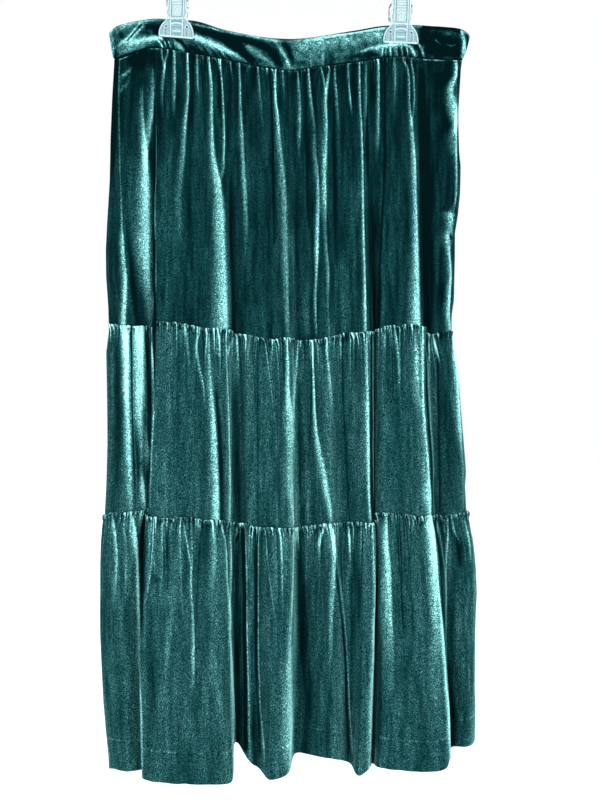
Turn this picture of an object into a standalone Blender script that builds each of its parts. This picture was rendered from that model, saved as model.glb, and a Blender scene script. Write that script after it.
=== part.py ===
"""Three-tier gathered maxi skirt of velvet, hung flat from a clear hanger with two pinch clips.

Metres, +Z up, the front faces -Y. The origin is the inside of the hook's crown, where a rail carries it.
Garment sizes are in millimetres: x to the right of the skirt's centre line, depth outwards from the plane
of the side seams, drop below the level DATUM_Z. The hanger leans by TILT in its own plane.
"""
import math
from collections import namedtuple

import bmesh
import bpy
import numpy as np
from mathutils import Matrix, Vector

MM = 0.001

# ---------------------------------------------------------------- driving sizes, millimetres
DATUM_Z = -128.0            # drops are measured down from here
SKIRT_X = -3.8              # the skirt's centre line, left of the hook because the hanger leans
CLOTH = 1.6                 # velvet with its pile
BAND_CLOTH = 2.4            # waistband: two thicknesses of velvet
SEAM_GAP = 0.3              # between sewn pieces
WAIST_GAP = 0.45            # the gathers' bulk keeps the waistband a little further off
FLARE = 0.03                # the lower tier stands out below its seam by this part of its width

TILT = math.radians(1.45)   # right end of the hanger hangs low
CLIP_X = 130.7              # clip centres, from the hanger's centre line
CLIP_LOW_Z = -176.3         # lower edge of the jaws
JAW_INNER = 3.5             # inner face of a jaw, from the plane of the side seams
JAW_DEEP = 3.5              # thickness of a jaw
POCKET_DEEP = 2.2           # depth of the hollows in a jaw's face
BAR_HALF = 3.2              # half the thickness of the bar
BAR_WEB = 0.9               # half the thickness of the bar's web
BAR_LOW = 28.6              # the bar's lower edge above the jaws' lower edge
HOOK_WIRE = 3.2             # diameter
HOOK_INNER = 19.0           # inner radius of the crown
HOOK_BEND = 14.0            # radius of the bend between shank and crown
SPRING_WIRE = 1.6           # diameter

FRONT = -1.0                # sign of Y for depth
BACK = 1.0

# ---------------------------------------------------------------- tables, millimetres
# One row for each place along the waistband, from the left end to the right.
Band = namedtuple("Band", "name x_top x_low depth top low")

FRONT_BAND = (
    Band("left end",         -210, -204,  0.15, 40, 70),
    Band("left turn",        -209, -203,  3.4, 38.5, 70),
    Band("left corner",      -202, -197,  4.8, 32, 69),
    Band("left flat",        -165, -165,  3.6, 22.8, 57),
    Band("clip outer edge",  -153, -153,  3.2, 22, 57),
    Band("clip",             -131, -131,  3.2, 24, 60),
    Band("clip inner edge",  -109, -109,  3.2, 27.5, 64),
    Band("left of middle",    -75,  -70,  6.5, 36.5, 72),
    Band("middle, left",      -35,  -35, 11.0, 44.5, 80),
    Band("lowest",              0,    0, 12.5, 49.0, 85),
    Band("middle, right",      40,   38, 11.0, 44.0, 80),
    Band("right of middle",    80,   78,  6.0, 38, 74),
    Band("clip inner edge",   109,  109,  3.2, 32.3, 69),
    Band("clip",              131,  131,  3.2, 30, 67),
    Band("clip outer edge",   153,  153,  3.2, 30, 69),
    Band("right corner",      200,  194,  4.8, 35, 71),
    Band("right turn",        209,  202,  3.4, 41.5, 71),
    Band("right end",         210,  203,  0.15, 44, 71),
)

BACK_BAND = (
    Band("right end",         210,  203,  0.15, 44, 71),
    Band("right turn",        209,  202,  3.4, 41.5, 71),
    Band("right corner",      200,  194,  4.8, 35, 71),
    Band("clip outer edge",   153,  153,  3.2, 29, 69),
    Band("clip",              131,  131,  3.2, 29, 67),
    Band("clip inner edge",   109,  109,  3.2, 29.8, 69),
    Band("right of middle",    75,   75,  6.5, 34.8, 74),
    Band("middle",              0,    0, 11.0, 43.5, 85),
    Band("left of middle",    -70,  -70,  6.5, 35, 72),
    Band("clip inner edge",  -109, -109,  3.2, 24, 64),
    Band("clip",             -131, -131,  3.2, 23, 60),
    Band("clip outer edge",  -153, -153,  3.2, 22, 57),
    Band("left corner",      -202, -197,  4.8, 32, 69),
    Band("left turn",        -209, -203,  3.4, 38.5, 70),
    Band("left end",         -210, -204,  0.15, 40, 70),
)

# One row for each fold line, which runs down through all three tiers, from the left side to the right.
# x and depth are at the waist, the upper seam, the lower seam and the hem; the waist's depth is added to
# the waistband's. drop is at the upper seam, the lower seam and the hem.
Fold = namedtuple("Fold", "name x depth drop")

FRONT_FOLDS = (
    Fold("left side",         (-204, -210, -213, -209), (0, 0.15, 0.15, 0.15), (379, 600, 896)),
    Fold("left turn",         (-199, -200, -205, -200), (0, 9, 12, 20), (379, 599, 893)),
    Fold("left flat",         (-184, -184, -184, -184), (0, 16, 23, 34), (381, 596, 893)),
    Fold("under left edge",   (-160, -150, -151, -160), (0, 10, 13, 21), (382, 591, 893)),
    Fold("left edge",         (-150, -157, -161, -168), (1, 23, 31, 47), (377, 599, 898)),
    Fold("left shoulder",     (-140, -146, -150, -155), (1, 26, 35, 54), (377, 602, 901)),
    Fold("wide panel",        (-112, -115, -115, -114), (0, 21, 29, 45), (380, 603, 906)),
    Fold("wide crest",         (-84,  -80,  -80,  -72), (1, 28, 36, 57), (385, 605, 903)),
    Fold("wide edge",          (-75,  -70,  -69,  -64.5), (1, 24, 31, 50), (386, 607, 901)),
    Fold("under wide edge",    (-68,  -64,  -58,  -61.5), (-1, 11, 15, 22), (389, 609, 862)),
    Fold("narrow fold",        (-52,  -48,  -48,  -46), (1, 20, 27, 37), (392, 609, 880)),
    Fold("narrow valley",      (-42,  -37,  -37,  -34), (0, 18, 24, 34), (394, 613, 890)),
    Fold("middle rise",        (-24,  -20,  -20,  -21), (1, 22, 29, 55), (396, 614, 899)),
    Fold("middle edge",        (-5,    -1,    0,   -2), (1, 30, 38, 55), (396, 614, 893)),
    Fold("under middle edge",   (6,    10,   12,    9), (-1, 14, 17, 23), (397, 613, 870)),
    Fold("middle flat",        (20,    24,   27,   28), (0, 18, 24, 30), (397, 611, 876)),
    Fold("double crest",       (36,    42,   48,   52), (1, 31, 37, 46), (395, 608, 877)),
    Fold("double valley",      (54,    61,   63,   69), (0, 18, 23, 31), (391, 608, 884)),
    Fold("slim crest",         (78,    84,   86,   80), (1, 27, 35, 52), (389, 607, 895)),
    Fold("slim edge",          (87,    94,   96,   91), (1, 23, 31, 45), (388, 608, 889)),
    Fold("slit",               (96,    99,   98,   96), (-1, 11, 14, 24), (387, 600, 886)),
    Fold("right panel edge",  (107,   106,  104,  103), (1, 22, 30, 48), (384, 597, 886)),
    Fold("right panel",       (124,   125,  130,  136), (0, 20, 28, 44), (380, 598, 891)),
    Fold("right crest",       (141,   147,  156,  178), (1, 29, 36, 52), (381, 600, 887)),
    Fold("right edge",        (150,   155,  166,  183.5), (0, 25, 31, 44), (383, 600, 878)),
    Fold("under right edge",  (160,   159,  171,  187), (0, 11, 15, 22), (389, 600, 864)),
    Fold("right flat",        (180,   174,  188,  202), (0, 15, 21, 29), (389, 600, 866)),
    Fold("right turn",        (197,   186,  202,  212), (0, 9, 12, 16), (386, 598, 864)),
    Fold("right side",        (203,   190,  207,  216), (0, 0.15, 0.15, 0.15), (385, 597, 861)),
)

# The back hangs in plainer folds: x at the four levels, and how far up it stands between valley and crest.
BackFold = namedtuple("BackFold", "name x rise")

BACK_FOLDS = (
    BackFold("turn, right",      (198,  186,  201,  211), 0.05),
    BackFold("flat, right",      (182,  174,  186,  196), 0.45),
    BackFold("valley 1",         (158,  152,  160,  170), 0.0),
    BackFold("crest 1",          (140,  134,  140,  148), 0.9),
    BackFold("slope 1",          (112,  110,  112,  116), 0.4),
    BackFold("valley 2",          (96,   92,   92,   94), 0.0),
    BackFold("crest 2",           (76,   70,   70,   70), 1.0),
    BackFold("valley 3",          (54,   48,   46,   44), 0.1),
    BackFold("crest 3",           (30,   26,   24,   20), 0.8),
    BackFold("slope 3",            (4,    2,   -2,   -6), 0.35),
    BackFold("valley 4",         (-18,  -20,  -22,  -24), 0.0),
    BackFold("crest 4",          (-38,  -42,  -44,  -48), 1.0),
    BackFold("slope 4",          (-64,  -66,  -68,  -72), 0.5),
    BackFold("valley 5",         (-86,  -86,  -86,  -88), 0.05),
    BackFold("crest 5",         (-108, -106, -108, -112), 0.85),
    BackFold("valley 6",        (-134, -132, -134, -136), 0.1),
    BackFold("crest 6",         (-158, -156, -160, -162), 0.7),
    BackFold("flat, left",      (-184, -182, -184, -184), 0.35),
    BackFold("turn, left",      (-199, -201, -205, -200), 0.05),
)
BACK_VALLEY = (-0.5, 11, 15, 23)      # depth at the waist, the two seams and the hem
BACK_CREST = (1.0, 26, 34, 50)
BACK_SAG = (9, 7, -22)                # how far the seams and the hem dip in the middle of the back
BACK_LIFT = (2, 2, 10)                # how much lower a crest hangs than a valley

# Outline of a jaw and its lever: half width and height above its lower edge.
Step = namedtuple("Step", "half height")

JAW_OUTLINE = (
    Step(19.4, 0.0), Step(20.4, 1.2), Step(20.1, 7.0), Step(18.8, 12.0), Step(16.2, 16.6),
    Step(13.2, 19.6), Step(12.0, 21.8), Step(11.6, 25.5), Step(12.2, 27.2), Step(12.2, 32.6),
    Step(11.2, 34.4), Step(10.8, 40.0), Step(10.6, 60.0), Step(9.0, 62.0),
)
# Hollows in a jaw's face: one in the middle of the pad, one each side of it, and the lever's channel.
PAD_HOLLOW = ((-6.6, 1.8), (6.6, 1.8), (6.6, 13.4), (3.4, 14.6), (-3.4, 14.6), (-6.6, 13.4))
SIDE_HOLLOW = ((8.4, 1.8), (18.4, 1.8), (18.2, 7.0), (17.0, 11.4), (14.6, 15.2), (11.6, 17.4), (8.4, 18.0))
LEVER_HOLLOW = ((-7.4, 18.0), (7.4, 18.0), (7.4, 59.0), (-7.4, 59.0))

# Outline of the bar: distance from the middle and height above its lower edge; it is low where clips hold it.
BAR_OUTLINE = ((139.0, 0.0), (139.0, 13.0), (114.0, 13.0), (104.0, 22.0))
BAR_RIM = 2.2

# One spring wire on each side of a clip: out from the clip's centre, forwards, and up from the jaws' edge. It
# lies close to the levers, but one stands out and reaches down further.
SPRING_ROUTE = (
    (12.3, 5.3, 36.0), (12.1, 5.3, 39.0), (12.0, 5.1, 42.0), (12.0, 3.4, 45.0), (12.0, 0.0, 46.4),
)
WIDE_SPRING_ROUTE = (
    (13.4, 5.3, 27.4), (14.3, 5.3, 29.6), (13.9, 5.3, 32.6), (14.5, 5.3, 36.0), (14.5, 5.2, 39.5),
    (13.6, 4.4, 43.0), (12.6, 2.6, 45.6), (12.2, 0.0, 46.4),
)
BOSS_RADIUS = 6.0
BOSS_RISE = 14.0            # above the bar's upper edge
BORE_DEEP = 16.0


# ---------------------------------------------------------------- scene and materials
def clear_scene():
    for old in list(bpy.data.objects):
        bpy.data.objects.remove(old, do_unlink=True)


def new_collection(name):
    collection = bpy.data.collections.new(name)
    bpy.context.scene.collection.children.link(collection)
    return collection


def new_material(name, color, roughness, metallic=0.0, alpha=1.0):
    material = bpy.data.materials.new(name)
    material.use_nodes = True
    shader = material.node_tree.nodes["Principled BSDF"]
    shader.inputs["Base Color"].default_value = (*color, 1.0)
    shader.inputs["Roughness"].default_value = roughness
    shader.inputs["Metallic"].default_value = metallic
    shader.inputs["Alpha"].default_value = alpha
    return material


def add_mesh_object(name, mesh, material, collection):
    mesh.materials.append(material)
    thing = bpy.data.objects.new(name, mesh)
    collection.objects.link(thing)
    return thing


# ---------------------------------------------------------------- curves through rows
def through(points, per_span, before=None, after=None):
    """Points of a centripetal Catmull-Rom curve through rows, with the same number on each span."""
    rows = np.asarray(points, dtype=float)
    first = 2 * rows[0] - rows[1] if before is None else np.asarray(before, dtype=float)
    last = 2 * rows[-1] - rows[-2] if after is None else np.asarray(after, dtype=float)
    rows = np.vstack([first, rows, last])
    out = []
    for i in range(1, len(rows) - 2):
        p0, p1, p2, p3 = rows[i - 1:i + 3]
        t0 = 0.0
        t1 = t0 + math.sqrt(np.linalg.norm(p1 - p0))
        t2 = t1 + math.sqrt(np.linalg.norm(p2 - p1))
        t3 = t2 + math.sqrt(np.linalg.norm(p3 - p2))
        for t in np.linspace(t1, t2, per_span, endpoint=False):
            a1 = (t1 - t) / (t1 - t0) * p0 + (t - t0) / (t1 - t0) * p1
            a2 = (t2 - t) / (t2 - t1) * p1 + (t - t1) / (t2 - t1) * p2
            a3 = (t3 - t) / (t3 - t2) * p2 + (t - t2) / (t3 - t2) * p3
            b1 = (t2 - t) / (t2 - t0) * a1 + (t - t0) / (t2 - t0) * a2
            b2 = (t3 - t) / (t3 - t1) * a2 + (t - t1) / (t3 - t1) * a3
            out.append((t2 - t) / (t2 - t1) * b1 + (t - t1) / (t2 - t1) * b2)
    out.append(rows[-2])
    return np.array(out)


def band_profile(table):
    """A waistband's x_top, x_low, depth, top and low along its length, finely, in order of x_low."""
    rows = [tuple(r[1:]) for r in table]
    turned = (1, 1, -1, 1, 1)
    before = np.multiply(rows[1], turned)
    after = np.multiply(rows[-2], turned)
    profile = through(rows, 8, before, after)
    return profile[np.argsort(profile[:, 1])]


def band_at(profile, x_low):
    """Columns x_top, depth, top and low of a waistband where its lower edge is at x_low."""
    return [np.interp(x_low, profile[:, 1], profile[:, column]) for column in (0, 2, 3, 4)]


def level_curve(xs, depths, drops, side, per_span):
    """The cross-section at one level, which leaves the side seams squarely."""
    rows = np.column_stack([xs, side * np.asarray(depths, dtype=float), drops])
    before = rows[1] * (1, -1, 1)
    after = rows[-2] * (1, -1, 1)
    return through(rows, per_span, before, after)


def tier_curves(folds, side, profile, per_span):
    """Cross-sections at the waist, the upper seam, the lower seam and the hem."""
    waist_x = np.array([f.x[0] for f in folds], dtype=float)
    _, band_depth, _, low = band_at(profile, waist_x)
    waist_depth = band_depth + [f.depth[0] for f in folds]
    waist = level_curve(waist_x, waist_depth, low, side, per_span)
    waist[:, 2] = band_at(profile, waist[:, 0])[3]
    curves = [waist]
    for level in (1, 2, 3):
        xs = [f.x[level] for f in folds]
        depths = [f.depth[level] for f in folds]
        drops = [f.drop[level - 1] for f in folds]
        curves.append(level_curve(xs, depths, drops, side, per_span))
    return curves


def back_folds():
    """Full rows for the back, between the front's own side rows."""
    right, left = FRONT_FOLDS[-1], FRONT_FOLDS[0]
    folds = [right]
    for row in BACK_FOLDS:
        depths = [v + row.rise * (c - v) for v, c in zip(BACK_VALLEY, BACK_CREST)]
        drops = []
        for level in (1, 2, 3):
            x = row.x[level]
            across = (x - left.x[level]) / (right.x[level] - left.x[level])
            straight = left.drop[level - 1] * (1 - across) + right.drop[level - 1] * across
            dip = BACK_SAG[level - 1] * 4 * across * (1 - across)
            drops.append(straight + dip + BACK_LIFT[level - 1] * (row.rise - 0.2))
        folds.append(Fold(row.name, row.x, depths, drops))
    folds.append(left)
    return folds


# ---------------------------------------------------------------- cloth walls
def outward(section):
    """Level unit normals that point out of the skirt; at the side seams they point straight sideways."""
    along = np.gradient(section[:, :2], axis=0)
    length = np.linalg.norm(along, axis=1)
    normals = np.column_stack([along[:, 1], -along[:, 0]]) / length[:, None]
    for end in (0, -1):
        normals[end] = (math.copysign(1.0, section[end, 0]), 0.0)
    return normals


def place(point):
    return Vector(((point[0] + SKIRT_X) * MM, point[1] * MM, (DATUM_Z - point[2]) * MM))


def cloth_wall(name, sections, thick, material, collection, top_normals=None):
    """A closed wall inwards from sections of equal length, ordered from the top down."""
    bm = bmesh.new()
    outer, inner = [], []
    for level, section in enumerate(sections):
        normals = outward(section)
        if level == 0 and top_normals is not None:
            normals = top_normals
        inside = section.copy()
        inside[:, :2] -= normals * thick
        outer.append([bm.verts.new(place(p)) for p in section])
        inner.append([bm.verts.new(place(p)) for p in inside])
    rows, columns = len(outer), len(outer[0])
    for r in range(rows - 1):
        for c in range(columns - 1):
            bm.faces.new((outer[r][c], outer[r + 1][c], outer[r + 1][c + 1], outer[r][c + 1]))
            bm.faces.new((inner[r][c], inner[r][c + 1], inner[r + 1][c + 1], inner[r + 1][c]))
    for c in range(columns - 1):
        bm.faces.new((outer[0][c], outer[0][c + 1], inner[0][c + 1], inner[0][c]))
        bm.faces.new((outer[-1][c], inner[-1][c], inner[-1][c + 1], outer[-1][c + 1]))
    for r in range(rows - 1):
        bm.faces.new((outer[r][0], inner[r][0], inner[r + 1][0], outer[r + 1][0]))
        bm.faces.new((outer[r][-1], outer[r + 1][-1], inner[r + 1][-1], inner[r][-1]))
    bmesh.ops.recalc_face_normals(bm, faces=bm.faces)
    mesh = bpy.data.meshes.new(name)
    bm.to_mesh(mesh)
    bm.free()
    mesh.shade_smooth()
    return add_mesh_object(name, mesh, material, collection)


def make_waistband(name, profile, waist, side, material, collection):
    """The band's lower edge follows the columns of the tier sewn under it."""
    x_low = waist[:, 0]
    x_top, depth, top, low = band_at(profile, x_low)
    upper = np.column_stack([x_top, side * depth, top])
    lower = np.column_stack([x_low, side * depth, low - WAIST_GAP + SEAM_GAP / 2])
    cloth_wall(name, [upper, lower], BAND_CLOTH, material, collection)
    return outward(lower)


def make_tier(name, top, bottom, spans, flare, last, top_normals, material, collection):
    upper = top.copy()
    upper[:, 2] += SEAM_GAP / 2
    lower = bottom.copy()
    if not last:
        lower[:, 2] -= SEAM_GAP / 2
    sections = []
    for part in np.linspace(0.0, 1.0, spans + 1):
        section = upper + (lower - upper) * part
        section[:, 0] *= 1 + flare * math.sin(math.pi * part ** 0.6)
        sections.append(section)
    cloth_wall(name, sections, CLOTH, material, collection, top_normals)


def make_skirt(velvet, band_velvet, collection):
    for side_name, side, table, folds, per_span in (
        ("front", FRONT, FRONT_BAND, FRONT_FOLDS, 3),
        ("back", BACK, BACK_BAND, back_folds(), 3),
    ):
        profile = band_profile(table)
        waist, upper_seam, lower_seam, hem = tier_curves(folds, side, profile, per_span)
        band_normals = make_waistband("waistband_" + side_name, profile, waist, side, band_velvet, collection)
        for tier, top, bottom, spans, flare, normals in (
            ("upper_tier_", waist, upper_seam, 3, 0.0, band_normals),
            ("middle_tier_", upper_seam, lower_seam, 3, 0.0, None),
            ("lower_tier_", lower_seam, hem, 4, FLARE, None),
        ):
            make_tier(tier + side_name, top, bottom, spans, flare, bottom is hem, normals, velvet, collection)


# ---------------------------------------------------------------- hanger
def hanger_matrix():
    """From the hanger's own frame, in millimetres, to the world."""
    return Matrix.Rotation(TILT, 4, "Y") @ Matrix.Scale(MM, 4)


def apply_matrix(mesh, matrix):
    mesh.transform(matrix)
    if matrix.determinant() < 0:
        mesh.flip_normals()


def plate_mesh(name, outline, y_low, y_high):
    """A flat outline in the XZ plane between two values of Y, in millimetres."""
    curve = bpy.data.curves.new(name, "CURVE")
    curve.dimensions = "2D"
    curve.fill_mode = "BOTH"
    curve.extrude = (y_high - y_low) / 2
    spline = curve.splines.new("POLY")
    spline.points.add(len(outline) - 1)
    for point, (x, z) in zip(spline.points, outline):
        point.co = (x, z, 0.0, 1.0)
    spline.use_cyclic_u = True
    shape = bpy.data.objects.new(name + "_outline", curve)
    bpy.context.scene.collection.objects.link(shape)
    bpy.context.view_layer.update()
    evaluated = shape.evaluated_get(bpy.context.evaluated_depsgraph_get())
    mesh = bpy.data.meshes.new_from_object(evaluated)
    bpy.data.objects.remove(shape, do_unlink=True)
    bm = bmesh.new()
    bm.from_mesh(mesh)
    bmesh.ops.remove_doubles(bm, verts=bm.verts, dist=0.001)
    turn = Matrix.Translation((0.0, (y_low + y_high) / 2, 0.0)) @ Matrix.Rotation(math.pi / 2, 4, "X")
    bmesh.ops.transform(bm, matrix=turn, verts=bm.verts)
    bmesh.ops.recalc_face_normals(bm, faces=bm.faces)
    bm.to_mesh(mesh)
    bm.free()
    return mesh


def add_cutter(name, mesh, target, matrix, cutters, operation="DIFFERENCE"):
    apply_matrix(mesh, matrix)
    cutter = bpy.data.objects.new(name, mesh)
    cutters.objects.link(cutter)
    cutter.hide_render = True
    cutter.display_type = "WIRE"
    cut = target.modifiers.new(name, "BOOLEAN")
    cut.operation = operation
    cut.object = cutter
    cut.solver = "EXACT"
    return cutter


def cylinder_mesh(name, radius, z_low, z_high, sides=24):
    bm = bmesh.new()
    depth = z_high - z_low
    bmesh.ops.create_cone(bm, cap_ends=True, segments=sides, radius1=radius, radius2=radius, depth=depth)
    bmesh.ops.translate(bm, verts=bm.verts, vec=(0.0, 0.0, (z_low + z_high) / 2))
    mesh = bpy.data.meshes.new(name)
    bm.to_mesh(mesh)
    bm.free()
    return mesh


def mirrored(points):
    return [(-x, z) for x, z in reversed(points)]


def make_jaw(name, clip_x, side, material, collection, cutters):
    """A bell-shaped jaw in one piece with its lever, hollowed from its outer face."""
    half = [(s.half, s.height) for s in JAW_OUTLINE]
    outline = half + mirrored(half)
    near, far = sorted((side * JAW_INNER, side * (JAW_INNER + JAW_DEEP)))
    matrix = hanger_matrix() @ Matrix.Translation((clip_x, 0.0, CLIP_LOW_Z))
    mesh = plate_mesh(name, outline, near, far)
    apply_matrix(mesh, matrix)
    jaw = add_mesh_object(name, mesh, material, collection)
    floor = side * (JAW_INNER + JAW_DEEP - POCKET_DEEP)
    outside = side * (JAW_INNER + JAW_DEEP + 1.0)
    low, high = sorted((floor, outside))
    hollows = (
        ("pad", PAD_HOLLOW),
        ("side_a", SIDE_HOLLOW),
        ("side_b", mirrored(SIDE_HOLLOW)),
        ("lever", LEVER_HOLLOW),
    )
    for label, points in hollows:
        cut_name = f"{name}_{label}_hollow"
        add_cutter(cut_name, plate_mesh(cut_name, points, low, high), jaw, matrix, cutters)
    return jaw


def make_wire(name, route, diameter, matrix, material, collection, bevel_resolution=2):
    """A round wire along points in the hanger's frame, with filled ends."""
    curve = bpy.data.curves.new(name, "CURVE")
    curve.dimensions = "3D"
    curve.bevel_depth = diameter / 2 * MM
    curve.bevel_resolution = bevel_resolution
    curve.use_fill_caps = True
    spline = curve.splines.new("POLY")
    spline.points.add(len(route) - 1)
    for point, place_mm in zip(spline.points, route):
        point.co = (*(matrix @ Vector(place_mm)), 1.0)
        point.radius = 1.0
    spline.use_smooth = True
    curve.materials.append(material)
    wire = bpy.data.objects.new(name, curve)
    collection.objects.link(wire)
    return wire


def make_spring(name, clip_x, outward_x, leg, material, collection):
    front_leg = through(leg, 2)
    back_leg = front_leg[-2::-1] * (1, -1, 1)
    legs = np.vstack([front_leg, back_leg])
    route = [(clip_x + outward_x * x, -forward, CLIP_LOW_Z + h) for x, forward, h in legs]
    return make_wire(name, route, SPRING_WIRE, hanger_matrix(), material, collection)


def make_clip(name, clip_x, left_leg, plastic, steel, collection, cutters):
    make_jaw(name + "_jaw_front", clip_x, FRONT, plastic, collection, cutters)
    make_jaw(name + "_jaw_back", clip_x, BACK, plastic, collection, cutters)
    make_spring(name + "_spring_left", clip_x, -1, left_leg, steel, collection)
    make_spring(name + "_spring_right", clip_x, 1, SPRING_ROUTE, steel, collection)


def make_bar(plastic, collection, cutters):
    """The clear bar between the clips, hollowed on both faces, with a bored boss for the hook."""
    base = CLIP_LOW_Z + BAR_LOW
    half = [(x, base + h) for x, h in BAR_OUTLINE]
    mesh = plate_mesh("hanger_bar", half + mirrored(half), -BAR_HALF, BAR_HALF)
    matrix = hanger_matrix()
    apply_matrix(mesh, matrix)
    bar = add_mesh_object("hanger_bar", mesh, plastic, collection)
    top = base + BAR_OUTLINE[-1][1]
    inner = [
        (102.0, base + BAR_RIM), (102.0, base + 20.0), (BOSS_RADIUS + 2.0, base + 20.0),
        (BOSS_RADIUS + 2.0, base + BAR_RIM),
    ]
    for label, points in (("right", inner), ("left", mirrored(inner))):
        for face, low, high in (("front", -BAR_HALF - 1.0, -BAR_WEB), ("back", BAR_WEB, BAR_HALF + 1.0)):
            cut_name = f"hanger_bar_{label}_{face}_hollow"
            add_cutter(cut_name, plate_mesh(cut_name, points, low, high), bar, matrix, cutters)
    boss = cylinder_mesh("hanger_boss", BOSS_RADIUS, base + BAR_RIM + 1.0, top + BOSS_RISE)
    add_cutter("hanger_boss", boss, bar, matrix, cutters, "UNION")
    bore_radius = HOOK_WIRE / 2 + SEAM_GAP
    bore = cylinder_mesh("hanger_bore", bore_radius, top + BOSS_RISE - BORE_DEEP, top + BOSS_RISE + 2.0, 16)
    add_cutter("hanger_bore", bore, bar, matrix, cutters)
    return top + BOSS_RISE - BORE_DEEP


def hook_route(foot):
    """Straight shank, a bend to the right, and the round crown, as points in the hanger's frame."""
    radius = HOOK_INNER + HOOK_WIRE / 2
    centre = Vector((0.0, -HOOK_INNER))
    reach = radius + HOOK_BEND
    bend_centre = Vector((HOOK_BEND, centre.y - math.sqrt(reach ** 2 - HOOK_BEND ** 2)))
    join = math.atan2(bend_centre.y - centre.y, bend_centre.x - centre.x)
    points = [(0.0, foot), (0.0, (foot + bend_centre.y) / 2)]
    turn_end = math.pi + join
    for angle in np.linspace(math.pi, turn_end, 6):
        x = bend_centre.x + HOOK_BEND * math.cos(angle)
        points.append((x, bend_centre.y + HOOK_BEND * math.sin(angle)))
    for angle in np.linspace(join, math.radians(195), 24)[1:]:
        points.append((centre.x + radius * math.cos(angle), centre.y + radius * math.sin(angle)))
    return [(x, 0.0, z) for x, z in points]


def main():
    clear_scene()
    collection = new_collection("tiered_maxi_skirt")
    cutters = new_collection("cutters")
    velvet = new_material("velvet", (0.012, 0.09, 0.10), 0.85)
    band_velvet = new_material("band_velvet", (0.012, 0.09, 0.10), 0.8)
    plastic = new_material("clear_plastic", (0.85, 0.93, 0.95), 0.12, alpha=0.4)
    steel = new_material("spring_steel", (0.55, 0.56, 0.57), 0.3, metallic=1.0)
    chrome = new_material("hook_chrome", (0.75, 0.76, 0.78), 0.12, metallic=1.0)

    make_skirt(velvet, band_velvet, collection)
    foot = make_bar(plastic, collection, cutters)
    make_wire("hanger_hook", hook_route(foot + SEAM_GAP), HOOK_WIRE, hanger_matrix(), chrome, collection, 3)
    make_clip("clip_left", -CLIP_X, SPRING_ROUTE, plastic, steel, collection, cutters)
    make_clip("clip_right", CLIP_X, WIDE_SPRING_ROUTE, plastic, steel, collection, cutters)


main()
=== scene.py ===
import math
from collections import namedtuple

import bmesh
import bpy
import numpy as np
from mathutils import Matrix, Vector
from mathutils.geometry import tessellate_polygon


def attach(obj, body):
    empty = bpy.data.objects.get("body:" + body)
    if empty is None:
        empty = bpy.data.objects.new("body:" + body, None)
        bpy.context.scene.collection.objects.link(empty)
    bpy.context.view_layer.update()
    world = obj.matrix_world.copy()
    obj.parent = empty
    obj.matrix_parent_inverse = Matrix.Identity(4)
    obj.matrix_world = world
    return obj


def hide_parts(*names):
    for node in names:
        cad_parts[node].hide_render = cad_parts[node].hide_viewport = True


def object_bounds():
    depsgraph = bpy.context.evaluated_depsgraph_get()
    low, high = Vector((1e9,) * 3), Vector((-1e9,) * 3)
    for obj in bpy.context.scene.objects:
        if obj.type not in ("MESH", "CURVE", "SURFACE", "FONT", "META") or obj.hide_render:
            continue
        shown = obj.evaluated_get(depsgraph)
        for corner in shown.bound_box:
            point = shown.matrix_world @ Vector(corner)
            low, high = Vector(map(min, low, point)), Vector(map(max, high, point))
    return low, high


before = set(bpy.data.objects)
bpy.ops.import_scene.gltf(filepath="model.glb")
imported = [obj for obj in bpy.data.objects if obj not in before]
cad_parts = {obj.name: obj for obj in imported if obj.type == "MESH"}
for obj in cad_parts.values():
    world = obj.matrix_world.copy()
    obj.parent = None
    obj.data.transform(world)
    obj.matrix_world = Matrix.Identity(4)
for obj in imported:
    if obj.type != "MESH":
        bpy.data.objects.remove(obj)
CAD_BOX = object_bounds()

# Garment sizes are in millimetres, as in the CAD model: x to the right of the skirt's centre line, depth
# outwards from the plane of the side seams, drop below the level DATUM_Z.
MM = 0.001
DATUM_Z = -128.0
SKIRT_X = -3.8
CLOTH = 1.3                 # velvet with its pile
HEM_CLOTH = 2.6             # where the hem is turned up
BAND_CLOTH = 2.6            # waistband
HEM_TURN = 33.0             # height of the turned-up hem
HEM_STEP = 0.0035           # between rows at its stitching, in parts of the tier
SEAM_GAP = 0.05             # between the pieces at a seam, too little for light to show through

# The hanger leans by TILT in its own plane. A clip's places are x from its centre and height above its lower
# edge; its jaws lie between these distances from the plane of the side seams.
TILT = math.radians(1.45)
CLIP_X = 130.7
CLIP_LOW_Z = -176.3
JAW_INNER = 3.5
JAW_FLOOR = 4.8             # face of the hollows
JAW_OUTER = 7.0

# Which way each half of the skirt faces along Y.
FRONT = -1.0
BACK = 1.0

# Waistbands: x of the upper and the lower edge, depth, and drop of the upper and the lower edge.
Band = namedtuple("Band", "name x_top x_low depth top low")

FRONT_BAND = (
    Band("left end",         -210, -204,     0, 40, 70),
    Band("left turn",        -209, -203,  3.4, 38.5, 70),
    Band("left corner",      -202, -197,  4.8, 32, 69),
    Band("left flat",        -165, -165,  3.6, 22.8, 57),
    Band("clip outer edge",  -153, -153,  3.2, 22, 57),
    Band("clip",             -131, -131,  3.2, 24, 60),
    Band("clip inner edge",  -109, -109,  3.2, 27.5, 64),
    Band("left of middle",    -75,  -70,  6.5, 36.5, 72),
    Band("middle, left",      -35,  -35, 11.0, 44.5, 80),
    Band("lowest",              0,    0, 12.5, 49.0, 85),
    Band("middle, right",      40,   38, 11.0, 44.0, 80),
    Band("right of middle",    80,   78,  6.0, 38, 74),
    Band("clip inner edge",   109,  109,  3.2, 32.3, 69),
    Band("clip",              131,  131,  3.2, 30, 67),
    Band("clip outer edge",   153,  153,  3.2, 30, 69),
    Band("right corner",      200,  194,  4.8, 35, 71),
    Band("right turn",        209,  202,  3.4, 41.5, 71),
    Band("right end",         210,  203,     0, 44, 71),
)

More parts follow.
